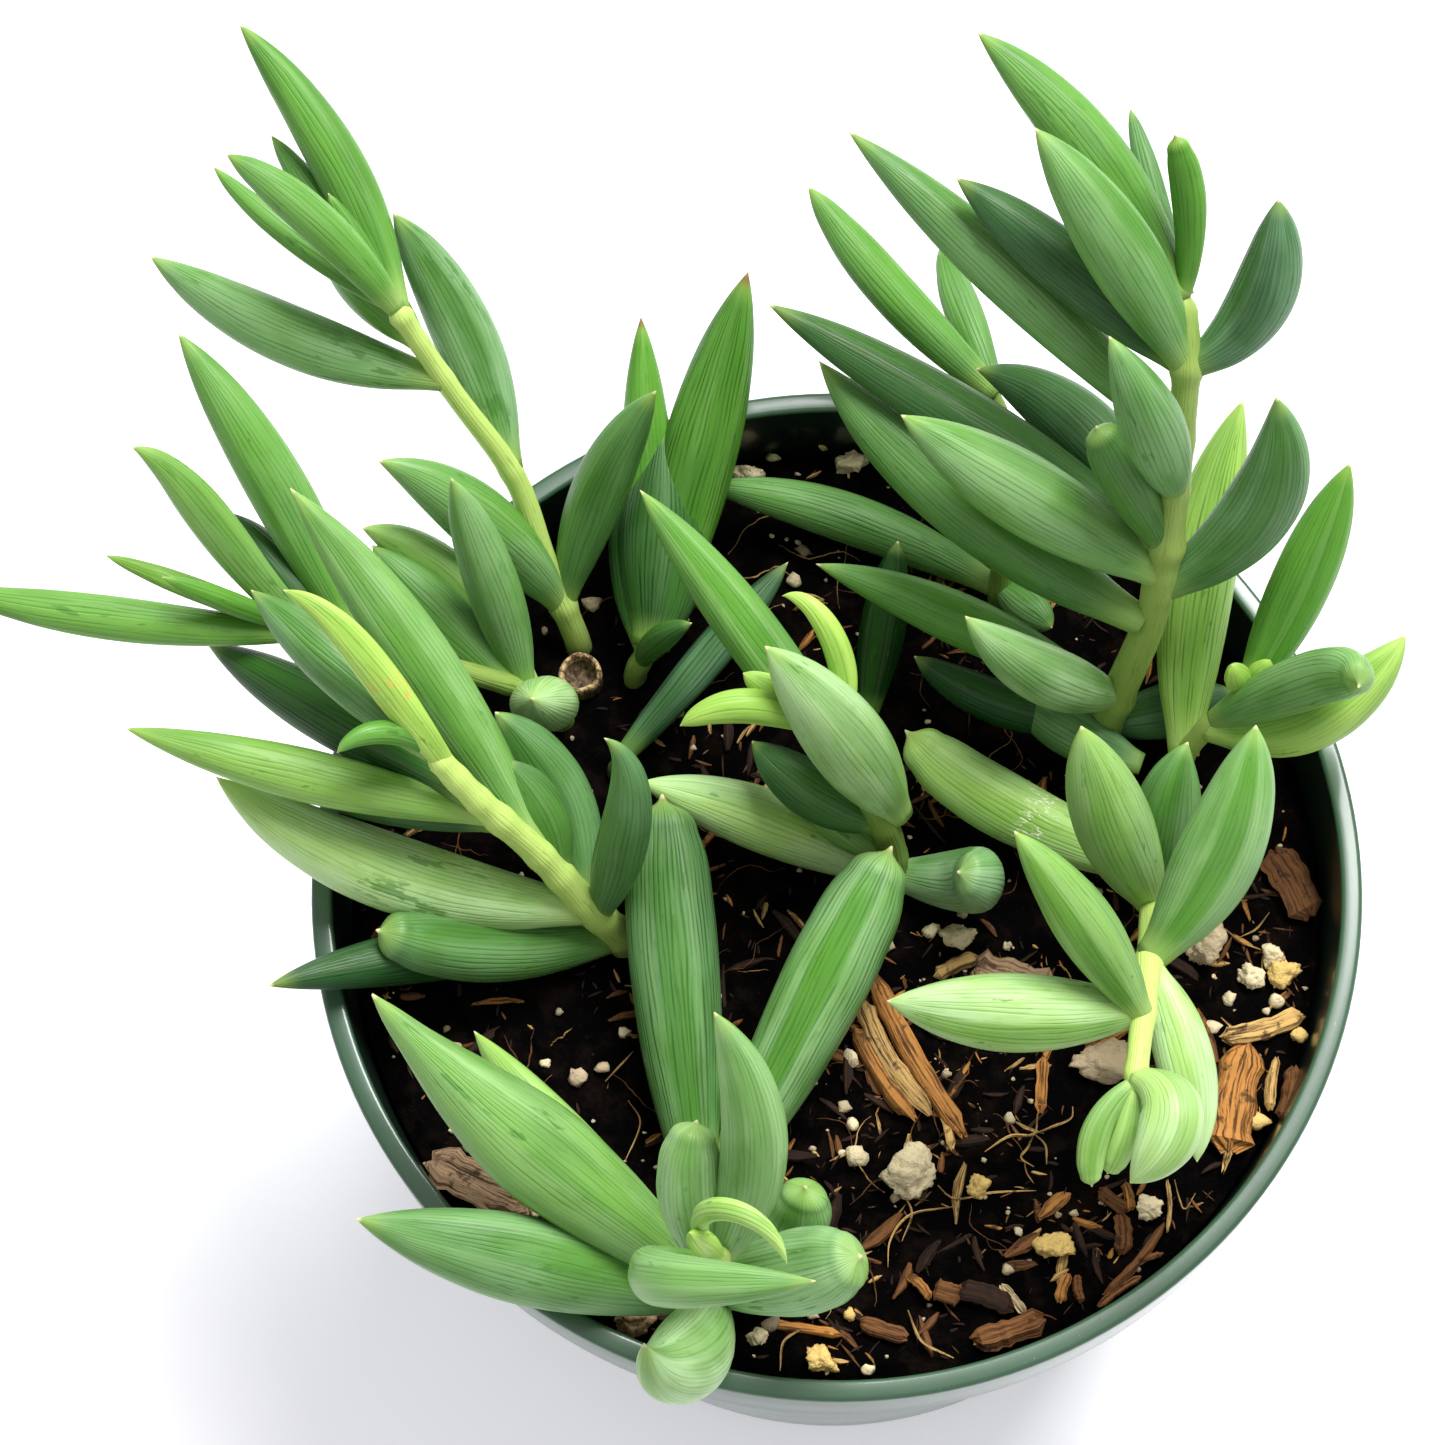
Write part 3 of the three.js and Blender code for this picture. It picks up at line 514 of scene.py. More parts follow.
def add_leaf(shape, root, spec, stem_way, rng):
    """One leaf: a fat bent spindle with a shallow window line on the side that faces its stem's tip."""
    tip = seen(*spec["tip"], spec["height"])
    pulls = [seen(*p) for p in spec["pulls"]] or [(root + tip) / 2]
    t = 1 - (1 - np.linspace(0, 1, LEAF_RINGS)) ** TIP_CROWDING
    line, length = read_along(bezier([root, *pulls, tip], np.linspace(0, 1, 200)), t)
    half = smooth_keys(spec["profile"], t) * spec["width"] / 2
    # A leaf that points at the camera takes its side from the picture
    across = np.cross(forward, unit(tip - root))
    across = unit(across) if np.linalg.norm(across) > 0.15 else rightward
    tangent, side, front = frames_along(line, across)
    middle = LEAF_RINGS // 2
    to_tip = stem_way - tangent[middle] * (stem_way @ tangent[middle]) + UPWARD_TURN * np.array([0, 0, 1])
    face = math.atan2(to_tip @ front[middle], to_tip @ side[middle])
    turn = face - math.pi + circle(LEAF_SIDES)
    away = np.abs((turn - face + math.pi) % (2 * math.pi) - math.pi) / math.pi
    section = (1 - GROOVE_DEPTH * np.exp(-((away / GROOVE_WIDTH) ** 2))
               + KEEL_HEIGHT * np.exp(-(((1 - away) / KEEL_WIDTH) ** 2)))
    waves = 1 + WAVE_HEIGHT * (np.sin(9 * t[:, None] + 6.28 * rng.random())
                               * np.cos(turn * 2 + 3 * rng.random()))
    rings = tube(line, side, front, half[:, None] * section * waves, turn, LEAF_THICKNESS)
    draw = rng.random()
    tone, bloom, stripe, window = spec["looks"]
    look = np.tile((tone, bloom, draw, stripe), (LEAF_RINGS, LEAF_SIDES, 1))
    # Each leaf reads another stretch of the stripes
    round_way = np.linspace(0, math.pi * spec["width"] * 0.92, LEAF_SIDES + 1) + 40 * draw
    shape.rings(rings, round_way, t * length, look, places(t, away, window, 1), spec["marks"])


def leafy_stem(name, stem, material, rng):
    """A stem with its leaves, in one piece that stands for its node."""
    points = [seen(*p) for p in stem["route"]]
    foot = np.array([points[0][0], points[0][1], SOIL_LEVEL - STEM_ROOT_DEPTH])
    points = [foot, *points]
    t = np.linspace(0, 1, STEM_RINGS)
    line, length = read_along(np.array([through(points, share) for share in np.linspace(0, 1, 240)]), t)
    _, side, front = frames_along(line, rightward)
    radius = STEM_SLIMNESS * stem["radius"] * (1 - (1 - STEM_TAPER) * t)
    stations = []
    for spec in stem["leaves"]:
        if isinstance(spec["at"], tuple):
            stations.append((seen(*spec["at"]), np.array([0, 0, 1.0])))
            continue
        share = min((spec["at"] + 1) / (len(points) - 1), LAST_LEAF)
        root = through(points, share)
        way = through(points, min(share + NEAR, 1)) - through(points, share - NEAR)
        stations.append((root, unit(way)))
        gap = np.linalg.norm(line - root, axis=1)
        radius *= 1 + SWELLING * np.exp(-((gap / SWELLING_REACH) ** 2))
    radius *= np.clip((1 - t) * length / BUD_LENGTH, 0.04, 1)
    rings = tube(line, side, front, radius[:, None], circle(STEM_SIDES))
    look = np.tile((stem["tone"], 0, rng.random(), 0.2), (STEM_RINGS, STEM_SIDES, 1))
    round_way = np.linspace(0, 2 * math.pi * stem["radius"], STEM_SIDES + 1)
    shape = Shape()
    shape.rings(rings, round_way, t * length, look, places(t, np.full(STEM_SIDES, 0.6), 0, 0))
    for spec, (root, way) in zip(stem["leaves"], stations):
        add_leaf(shape, root, spec, way, rng)
    piece = shape.piece(name + "_fine", material)
    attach(piece, "root")
    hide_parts(name)


class Nodes:
    """A material's nodes, added and joined in few words."""

    def __init__(self, name):
        self.material = bpy.data.materials.new(name)
        self.material.use_nodes = True
        self.tree = self.material.node_tree
        self.shader = self.tree.nodes["Principled BSDF"]

    def add(self, kind, inputs, **settings):
        node = self.tree.nodes.new("ShaderNode" + kind)
        for key, value in settings.items():
            setattr(node, key, value)
        for key, value in inputs.items():
            self.feed(node.inputs[key], value)
        return node

    def feed(self, socket, value):
        if isinstance(value, bpy.types.NodeSocket):
            self.tree.links.new(value, socket)
        else:
            socket.default_value = value

    def math(self, operation, *values):
        return self.add("Math", dict(enumerate(values)), operation=operation).outputs[0]

    def times(self, product, *others):
        for other in others:
            product = self.math("MULTIPLY", product, other)
        return product

    def band(self, value, low, high, to_low=0.0, to_high=1.0):
        """A smooth step of a value between two limits."""
        settings = dict(enumerate((value, low, high, to_low, to_high)))
        return self.add("MapRange", settings, interpolation_type="SMOOTHSTEP").outputs[0]

    def mix(self, share, a, b, blend="MIX"):
        return self.add("Mix", {0: share, 6: a, 7: b}, data_type="RGBA", blend_type=blend).outputs[2]

    def noise(self, vector, scale, detail, roughness):
        settings = {"Vector": vector, "Scale": scale, "Detail": detail, "Roughness": roughness}
        return self.add("TexNoise", settings).outputs[0]

    def vector(self, x, y, z=0.0):
        return self.add("CombineXYZ", {0: x, 1: y, 2: z}).outputs[0]

    def axes(self, vector):
        return self.add("SeparateXYZ", {0: vector}).outputs

    def where(self):
        """The place in the object's own frame, in metres."""
        return self.add("TexCoord", {}).outputs["Object"]

    def grain(self):
        """The UV map, in millimetres: round the piece, and along it."""
        return self.axes(self.add("UVMap", {}, uv_map="grain").outputs[0])[:2]

    def colour(self, attribute):
        return self.add("Attribute", {}, attribute_name=attribute).outputs

    def split(self, attribute):
        """The red, green, blue and alpha of a colour attribute."""
        read = self.colour(attribute)
        return *self.add("SeparateColor", {0: read["Color"]}).outputs, read["Alpha"]

    def bump(self, height, strength, distance):
        node = self.add("Bump", {"Height": height, "Strength": strength, "Distance": distance})
        self.feed(self.shader.inputs["Normal"], node.outputs[0])

    def set(self, **values):
        for key, value in values.items():
            self.feed(self.shader.inputs[key.replace("_", " ")], value)


def srgb(r, g, b):
    """An sRGB colour of 0 to 255 as Blender's linear colour."""
    return tuple(((c / 255 + 0.055) / 1.055) ** 2.4 if c > 10 else c / 255 / 12.92 for c in (r, g, b)) + (1,)


def palette(**colours):
    return {name: srgb(*colour) for name, colour in colours.items()}


# The old colour serves old leaves, and also paints the shade on leaves that lie in shade.
SKIN = palette(
    old=(20, 68, 16), grown=(96, 154, 54), young=(180, 218, 100), mottle=(128, 172, 96),
    old_wax=(116, 166, 124), young_wax=(194, 226, 168), vein=(100, 142, 78), silver=(198, 224, 180),
    window=(78, 140, 34), margin=(182, 216, 140), rubbed=(58, 112, 32), streak=(112, 140, 70),
    orange_scar=(216, 170, 90), white_scar=(222, 230, 200), towards_tip=(178, 208, 96), tip=(232, 224, 168),
    brown_tip=(132, 82, 56), old_foot=(110, 148, 60), young_foot=(190, 218, 124), old_stem=(62, 96, 26),
    young_stem=(198, 226, 120), stem_foot=(96, 124, 54), stem_streak=(140, 160, 96),
)
# The inside colour is painted shade, far darker than the same plastic outside.
PLASTIC = palette(
    dark=(36, 70, 52), light=(52, 92, 70), inside=(16, 32, 26), dark_lip=(34, 68, 42), light_lip=(62, 98, 72),
    speck=(34, 54, 44), scuff=(190, 206, 196),
)
BARK_COLOURS = palette(
    orange=(196, 134, 66), tan=(218, 176, 108), brown=(132, 86, 46), grey=(178, 146, 112), dark=(40, 24, 16),
    straw=(230, 204, 152),
)
PERLITE_COLOURS = palette(
    cream=(240, 222, 180), yellow=(236, 200, 122), dusty=(206, 184, 150), tan=(190, 156, 116),
)


def leaf_material():
    """Waxy green leaf: fine lengthwise stripes, bloom with rubbed marks, a window line and a pale tip."""
    n = Nodes("leaf_skin")
    tone, bloom, draw, stripe = n.split("look")
    along, away, window, is_leaf = n.split("place")
    rubbed, brown, scar, _ = n.split("marks")
    u, v = n.grain()

    def field(across, lengthwise, detail, roughness=0.55):
        """Noise stretched along the leaf, other on each leaf."""
        place = n.vector(n.times(u, across), n.times(v, lengthwise), n.times(draw, 9.0))
        return n.noise(place, 1.0, detail, roughness)

    # Body colour from old and dark to young and bright; its dark end also paints shade on leaves that lie in
    # shade
    body = n.mix(n.band(tone, 0.0, 0.5), SKIN["old"], SKIN["grown"])
    body = n.mix(n.band(tone, 0.5, 1.0), body, SKIN["young"])
    body = n.mix(n.band(field(0.3, 0.06, 1.0), 0.4, 0.65, 0.0, 0.45), body, SKIN["mottle"], "MULTIPLY")
    # Glaucous bloom, thin and uneven, and gone from the window
    cloud = field(0.25, 0.1, 2.0)
    clear = n.times(n.band(away, 0.125, 0.085), window, n.band(along, 0.02, 0.2), n.band(along, 0.96, 0.84))
    wax = n.times(bloom, 0.85, n.band(cloud, 0.3, 0.62, 0.35, 1.0), n.math("MULTIPLY_ADD", clear, -0.8, 1.0))
    body = n.mix(wax, body, n.mix(n.band(tone, 0.0, 0.8), SKIN["old_wax"], SKIN["young_wax"]))
    # Fine dark stripes along the leaf, that waver, break off and fade
    wander = n.times(n.math("SUBTRACT", field(0.6, 0.08, 1.0), 0.5), 0.9)
    wave = n.math("SINE", n.times(n.math("ADD", u, wander), STRIPES_PER_MM))
    vein = n.times(n.band(wave, -0.1, 0.95), n.band(field(1.6, 0.1, 2.0), 0.36, 0.62))
    dark_vein = n.times(vein, n.math("MULTIPLY_ADD", n.math("POWER", stripe, 2.0), 0.72, 0.05))
    body = n.mix(dark_vein, body, SKIN["vein"], "MULTIPLY")
    body = n.mix(n.times(n.band(wave, -0.4, -1.0), wax, 0.16), body, SKIN["silver"])
    # The window line, smooth and clear, between two soft pale margins
    body = n.mix(n.times(clear, 0.4), body, SKIN["window"])
    margin = n.times(n.band(away, 0.105, 0.15), n.band(away, 0.24, 0.16))
    body = n.mix(n.times(margin, window, 0.12), body, SKIN["margin"])
    # Marks where the bloom is rubbed off, and streaks of older skin
    rub = field(0.9, 0.22, 3.0, 0.6)
    patch = n.band(field(0.16, 0.06, 1.0), 0.44, 0.56)
    bare = n.band(n.math("MULTIPLY_ADD", rubbed, 0.09, rub), 0.645, 0.69)
    body = n.mix(n.times(bare, patch, 0.6), body, SKIN["rubbed"])
    streak = n.band(field(2.6, 0.35, 2.0, 0.7), 0.58, 0.68)
    body = n.mix(n.times(streak, 0.16), body, SKIN["streak"], "MULTIPLY")
    # An old scar, orange or white
    crack = n.band(n.math("ABSOLUTE", n.math("SUBTRACT", rub, 0.5)), 0.016, 0.006)
    hurt = n.times(crack, n.band(along, 0.38, 0.43), n.band(along, 0.56, 0.49))
    crust = n.mix(n.band(scar, 0.5, 1.0), SKIN["orange_scar"], SKIN["white_scar"])
    body = n.mix(n.times(hurt, n.band(scar, 0.0, 0.4)), body, crust)
    # The small pale tip, or a brown one, and the yellowish foot
    body = n.mix(n.band(along, 0.9, 0.99, 0.0, 0.35), body, SKIN["towards_tip"])
    body = n.mix(n.times(n.band(along, 0.982, 0.996), is_leaf), body, SKIN["tip"])
    body = n.mix(n.times(n.band(along, 0.95, 0.99), brown), body, SKIN["brown_tip"])
    foot = n.mix(tone, SKIN["old_foot"], SKIN["young_foot"])
    body = n.mix(n.band(along, 0.17, 0.02, 0.0, 0.75), body, foot)
    # Stems are yellow-green, and olive near the soil
    bark = n.mix(tone, SKIN["old_stem"], SKIN["young_stem"])
    bark = n.mix(n.band(along, 0.3, 0.08, 0.0, 0.6), bark, SKIN["stem_foot"])
    bark = n.mix(n.band(streak, 0.0, 1.0, 0.0, 0.3), bark, SKIN["stem_streak"], "MULTIPLY")
    body = n.mix(is_leaf, bark, body)
    n.set(Base_Color=body, Roughness=n.band(cloud, 0.3, 0.7, 0.34, 0.46), Specular_IOR_Level=0.26)
    n.bump(n.math("MULTIPLY_ADD", vein, -1.0, n.times(rub, 0.8)), 0.35, 0.00018)
    return n.material


def pot_material():
    """Green nursery-pot plastic: dark and glossy, with scuffs and a specked lip, and painted near-black shade
    inside.
    """
    n = Nodes("pot_plastic")
    where = n.where()
    x, y, z = n.axes(where)
    cloud = n.noise(where, 45.0, 3.0, 0.5)
    scuff = n.noise(where, 700.0, 4.0, 0.7)
    body = n.mix(cloud, PLASTIC["dark"], PLASTIC["light"])
    # Painted shade: what lies inside the middle of the wall is painted near black, for the shade inside the
    # pot. The wall leans in towards the floor.
    out = n.math("SQRT", n.math("ADD", n.times(x, x), n.times(y, y)))
    wall = n.math("MULTIPLY_ADD", n.math("MINIMUM", z, SKIRT_FOOT * MM), WALL_SLOPE,
                  (INSIDE_FOOT - WALL_SLOPE * FLOOR + 0.75 * WALL) * MM)
    body = n.mix(n.band(n.math("SUBTRACT", wall, out), -0.0001, 0.0001), body, PLASTIC["inside"])
    # The lip's top, with dark specks, and pale scuffs all over
    lip = n.band(z, (POT_HEIGHT - 0.6) * MM, (POT_HEIGHT - 0.25) * MM)
    body = n.mix(lip, body, n.mix(cloud, PLASTIC["dark_lip"], PLASTIC["light_lip"]))
    body = n.mix(n.times(n.band(scuff, 0.69, 0.74), lip, 0.8), body, PLASTIC["speck"])
    body = n.mix(n.times(n.band(scuff, 0.3, 0.26), 0.5), body, PLASTIC["scuff"])
    n.set(Base_Color=body, Roughness=n.band(cloud, 0.3, 0.7, 0.34, 0.46))
    n.set(Coat_Weight=0.6, Coat_Roughness=0.16)
    n.bump(scuff, 0.12, 0.0001)
    return n.material


def soil_material():
    """Damp black potting mix."""
    n = Nodes("potting_mix")
    where = n.where()
    fine = n.noise(where, 1400.0, 5.0, 0.7)
    coarse = n.noise(where, 320.0, 3.0, 0.6)
    body = n.mix(n.band(coarse, 0.45, 0.7), srgb(6, 5, 5), srgb(22, 16, 13))
    body = n.mix(n.times(n.band(fine, 0.64, 0.74), 0.3), body, srgb(86, 60, 44))
    n.set(Base_Color=body, Roughness=0.95, Specular_IOR_Level=0.02)
    n.bump(fine, 0.8, 0.0006)
    return n.material


def bark_material():
    """Bark chips, slivers and fibres: each piece's own colour, with fibres along its length."""
    n = Nodes("bark")
    u, v = n.grain()
    fibre = n.noise(n.vector(n.times(u, 2.6), n.times(v, 0.16)), 1.0, 4.0, 0.7)
    dirt = n.noise(n.where(), 500.0, 4.0, 0.65)
    body = n.mix(n.band(fibre, 0.53, 0.4, 0.0, 0.9), n.colour("look")["Color"], srgb(62, 36, 18))
    body = n.mix(n.band(dirt, 0.56, 0.66, 0.0, 0.75), body, srgb(30, 19, 12))
    n.set(Base_Color=body, Roughness=0.8, Specular_IOR_Level=0.3)
    n.bump(fibre, 0.7, 0.0005)
    return n.material


def perlite_material():
    """Perlite and pumice: cream white, pitted and dusty."""
    n = Nodes("perlite")
    where = n.where()
    pits = n.noise(where, 1500.0, 4.0, 0.7)
    dust = n.noise(where, 420.0, 3.0, 0.6)
    body = n.mix(n.band(pits, 0.4, 0.3, 0.0, 0.7), n.colour("look")["Color"], srgb(126, 90, 54))
    body = n.mix(n.band(dust, 0.62, 0.74, 0.0, 0.5), body, srgb(110, 78, 50))
    n.set(Base_Color=body, Roughness=0.9, Specular_IOR_Level=0.3)
    n.bump(pits, 0.8, 0.0005)
    return n.material


def dry_material():
    """Dried stem: brown, with pale fibres along it, and painted shade that darkens it in the hollow and low
    on its side.
    """
    n = Nodes("dry_stem")
    where = n.where()
    stretched = n.add("Mapping", {"Vector": where, "Scale": (1.0, 1.0, 0.2)}).outputs[0]
    fibre = n.noise(stretched, 1500.0, 4.0, 0.7)
    body = n.mix(n.band(fibre, 0.38, 0.62), srgb(70, 46, 26), srgb(214, 184, 132))
    # Painted shade: from 0.8 mm below its top downward, the stub is darkened, in the hollow and on its side
    # alike.
    top = (SOIL_LEVEL + STUB["at"][2]) * MM
    body = n.mix(n.band(n.axes(where)[2], top - 0.0008, top - 0.0014, 0.0, 0.75), body, srgb(34, 20, 12))
    n.set(Base_Color=body, Roughness=0.85)
    n.bump(fibre, 0.8, 0.0004)
    return n.material


def as_mesh(name, body):
    """A bmesh as mesh data, and freed."""
    data = bpy.data.meshes.new(name)
    body.to_mesh(data)
    body.free()
    return data


def turned(profile, sides):
    """A closed turned solid from (radius, height) points that start and end on the axis."""
    mesh = bmesh.new()
    rings = []
    for radius, height in profile:
        turns = circle(sides) if radius else [0]
        rings.append([mesh.verts.new((radius * MM * math.cos(a), radius * MM * math.sin(a), height * MM))
                      for a in turns])
    for low, high in zip(rings, rings[1:]):
        for j in range(sides):
            k = (j + 1) % sides
            corners = [low[j % len(low)], low[k % len(low)], high[k % len(high)], high[j % len(high)]]
            mesh.faces.new(list(dict.fromkeys(corners)))
    bmesh.ops.recalc_face_normals(mesh, faces=mesh.faces)
    return as_mesh("turned", mesh)


def apply_modifiers(piece):
    graph = bpy.context.evaluated_depsgraph_get()
    data = bpy.data.meshes.new_from_object(piece.evaluated_get(graph))
    piece.modifiers.clear()
    piece.data = data


def rounded(before, corner, after, radius):
    """Four points that round a corner of an outline."""
    a, p, b = (np.array(point, float) for point in (before, corner, after))
    start = p + unit(a - p) * radius
    end = p + unit(b - p) * radius
    return [tuple(start * (1 - s) ** 2 + p * 2 * s * (1 - s) + end * s**2) for s in np.linspace(0, 1, 4)]


def make_pot(material):
    """The pot: tapered wall, skirt and flat lip, with drain holes in its floor."""
    # Radius, height, and how far each corner is rounded
    corners = [
        (0, 0, 0), (BASE_RADIUS, 0, 1.0), (INSIDE_TOP + WALL, SKIRT_FOOT, 0.4),
        (RIM_RADIUS - 0.5, SKIRT_FOOT, 0.3), (RIM_RADIUS, POT_HEIGHT, 0.55), (LIP_INSIDE, POT_HEIGHT, 0.45),
        (INSIDE_TOP, SKIRT_FOOT, 0.5), (INSIDE_FOOT, FLOOR, 0.6), (0, FLOOR, 0),
    ]
    profile = [corners[0][:2]]
    for before, (r, z, turn), after in zip(corners, corners[1:], corners[2:]):
        profile += rounded(before[:2], (r, z), after[:2], turn)
    profile.append(corners[-1][:2])
    pot = link("pot_fine", turned(profile, POT_SIDES), material)
    drill = bmesh.new()
    for i in range(DRAIN_HOLES):
        turn = (i + 0.5) / DRAIN_HOLES * 2 * math.pi
        place = Matrix.Translation(Vector((math.cos(turn), math.sin(turn), 0)) * DRAIN_CIRCLE * MM)
        bmesh.ops.create_cone(drill, cap_ends=True, segments=32, radius1=DRAIN_RADIUS * MM,
                              radius2=DRAIN_RADIUS * MM, depth=4 * FLOOR * MM, matrix=place)
    tool = placed("drill", as_mesh("drill", drill))
    cut = pot.modifiers.new("drain", "BOOLEAN")
    cut.operation = "DIFFERENCE"
    cut.object = tool
    cut.solver = "EXACT"
    apply_modifiers(pot)
    bpy.data.objects.remove(tool)
    pot.modifiers.new("shade", "EDGE_SPLIT").split_angle = math.radians(50)
    apply_modifiers(pot)
    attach(pot, "root")
    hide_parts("pot")


def inside_radius(z):
    """The pot's inside radius at a height."""
    return INSIDE_FOOT + WALL_SLOPE * (min(z, SKIRT_FOOT) - FLOOR)


def crumbs(x, y):
    """The crumbly soil's height above its level."""
    place = Vector((x, y, 0))
    low = noise.noise(place * 0.055) * 1.1
    middle = noise.fractal(place * 0.33, 0.9, 2.1, 3) * 0.55
    lumps = 0.9 * max(0.0, 0.55 - noise.voronoi(place * 0.42)[0][0])
    fine = noise.noise(place * 1.9) * 0.22
    return low + middle + lumps + fine - 0.25


def resting(x, y, above_crumbs):
    """The height of what lies on the crumbs, or over a hollow among them."""
    return SOIL_LEVEL + max(crumbs(x, y), 0) + above_crumbs


def make_soil(material):
    """The potting mix: a crumbly top on a plain plug that reaches the pot's floor."""
    edge = inside_radius(SOIL_LEVEL) - GAP
    around = [(math.cos(a), math.sin(a)) for a in circle(SOIL_SIDES)]
    verts = [(0, 0, SOIL_LEVEL + crumbs(0, 0))]
    for r in (edge * (i / SOIL_RINGS) ** 0.8 for i in range(1, SOIL_RINGS + 1)):
        sink = SOIL_SINK * max(0.0, (r - edge + SINK_WIDTH) / SINK_WIDTH) ** 2
        verts += [(r * c, r * s, SOIL_LEVEL + crumbs(r * c, r * s) - sink) for c, s in around]
    for r, z in ((edge - 0.3, SOIL_LEVEL - 6), (INSIDE_FOOT - GAP - 0.3, FLOOR + GAP)):
        verts += [(r * c, r * s, z) for c, s in around]
    rows = SOIL_RINGS + 2
    faces = []
    for j in range(SOIL_SIDES):
        k = (j + 1) % SOIL_SIDES
        faces.append((0, 1 + j, 1 + k))
        for low in range(1, 1 + (rows - 1) * SOIL_SIDES, SOIL_SIDES):
            high = low + SOIL_SIDES
            faces.append((low + j, high + j, high + k, low + k))
    faces.append(tuple(1 + (rows - 1) * SOIL_SIDES + j for j in reversed(range(SOIL_SIDES))))
    mesh = bpy.data.meshes.new("soil_fine")
    mesh.from_pydata((np.array(verts) * MM).tolist(), [], faces)
    soil = link("soil_fine", mesh, material)
    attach(soil, "root")
    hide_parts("soil")


def add_chip(shape, centre, length, width, thick, turn, tilt, colour, rng, steps=4, sides=6):
    """A split chip of bark: a ragged bar with torn ends."""
    way = np.array([math.cos(turn) * math.cos(tilt), math.sin(turn) * math.cos(tilt), math.sin(tilt)])
    side = unit(np.cross([0, 0, 1], way))
    top = np.cross(way, side)
    rings = np.empty((steps, sides, 3))
    bend = rng.uniform(-0.08, 0.08) * length
    ragged = [rng.uniform(0.75, 1.1) for _ in range(sides)]
    for i in range(steps):
        s = i / (steps - 1)
        torn = i in (0, steps - 1)
        swell = (0.35 if torn else 1) * rng.uniform(0.85, 1.1)
        for j, a in enumerate(circle(sides)):
            square = max(abs(math.cos(a)), abs(math.sin(a)))
            x = math.cos(a) / square * width / 2 * swell * ragged[j]
            z = math.sin(a) / square * thick / 2 * swell * ragged[(j + 3) % sides]
            jag = rng.uniform(-0.06, 0.06) * length if torn else 0
            aside = x + bend * math.sin(math.pi * s)
            rings[i, j] = centre + way * ((s - 0.5) * length + jag) + side * aside + top * z
    shade = rng.uniform(0.7, 1.1)
    look = np.tile([c * shade for c in colour[:3]] + [1], (steps, sides, 1))
    # Each chip reads another stretch of the fibres
    start = rng.uniform(0, 60)
    u = start + np.linspace(0, 2 * (width + thick), sides + 1)
    shape.rings(rings, u, start + np.linspace(0, length, steps), look, np.zeros((steps, sides, 4)))


def pebble(rng, width, centre):
    """A lumpy, faceted grain, rather flat."""
    ball = bmesh.new()
    bmesh.ops.create_icosphere(ball, subdivisions=4 if width > 2.4 else 2, radius=1)
    facets = [(Vector([rng.gauss(0, 1) for _ in range(3)]).normalized(), rng.uniform(0.55, 0.9))
              for _ in range(9)]
    shift = Vector([rng.uniform(0, 90) for _ in range(3)])
    stretch = (rng.uniform(0.85, 1.15), rng.uniform(0.75, 1.0), 0.75)
    verts = []
    for v in ball.verts:
        lump = min([1.15] + [reach / max(v.co @ way, 0.05) for way, reach in facets])
        lump *= 1 + 0.3 * noise.noise(v.co * 1.5 + shift) + 0.24 * noise.noise(v.co * 4.5 + shift)
        verts.append([v.co[k] * lump * stretch[k] * width / 2 + centre[k] for k in range(3)])
    faces = [[v.index for v in f.verts] for f in ball.faces]
    ball.free()
    return np.array(verts), faces


def add_thread(shape, line, length, radius, colour, sides):
    """A thin round thread along a line, finer at its ends."""
    steps = len(line)
    _, side, front = frames_along(line, np.array([0.02, 0.03, 1.0]))
    thin = radius * np.sin(np.linspace(0.35, math.pi - 0.25, steps))
    rings = tube(line, side, front, thin[:, None], circle(sides))
    look = np.tile([*colour[:3], 1], (steps, sides, 1))
    shape.rings(rings, np.linspace(0, 1, sides + 1), np.linspace(0, length, steps), look,
                np.zeros((steps, sides, 4)))


def add_fibre(shape, start, turn, length, radius, colour, rng):
    """A fine root or fibre that wanders over the soil."""
    steps = 13
    line = [np.array(start, float)]
    for _ in range(steps):
        turn += rng.gauss(0, 0.28)
        x, y, _ = line[-1] + np.array([math.cos(turn), math.sin(turn), 0]) * length / steps
        line.append(np.array([x, y, resting(x, y, 0.25) + abs(rng.gauss(0, 0.2))]))
    add_thread(shape, np.array(line), length, radius, colour, 5)


def add_root(shape, pixels, radius, colour):
    """A root that shows, through the pixels that it passes."""
    knots = []
    for across, down in pixels:
        x, y, _ = seen(across, down, 1)
        knots.append(np.array([x, y, resting(x, y, 0.4)]))
    dense = np.array([through(knots, t) for t in np.linspace(0, 1, 60)])
    line, length = read_along(dense, np.linspace(0, 1, 18))
    add_thread(shape, line, length, radius, colour, 6)


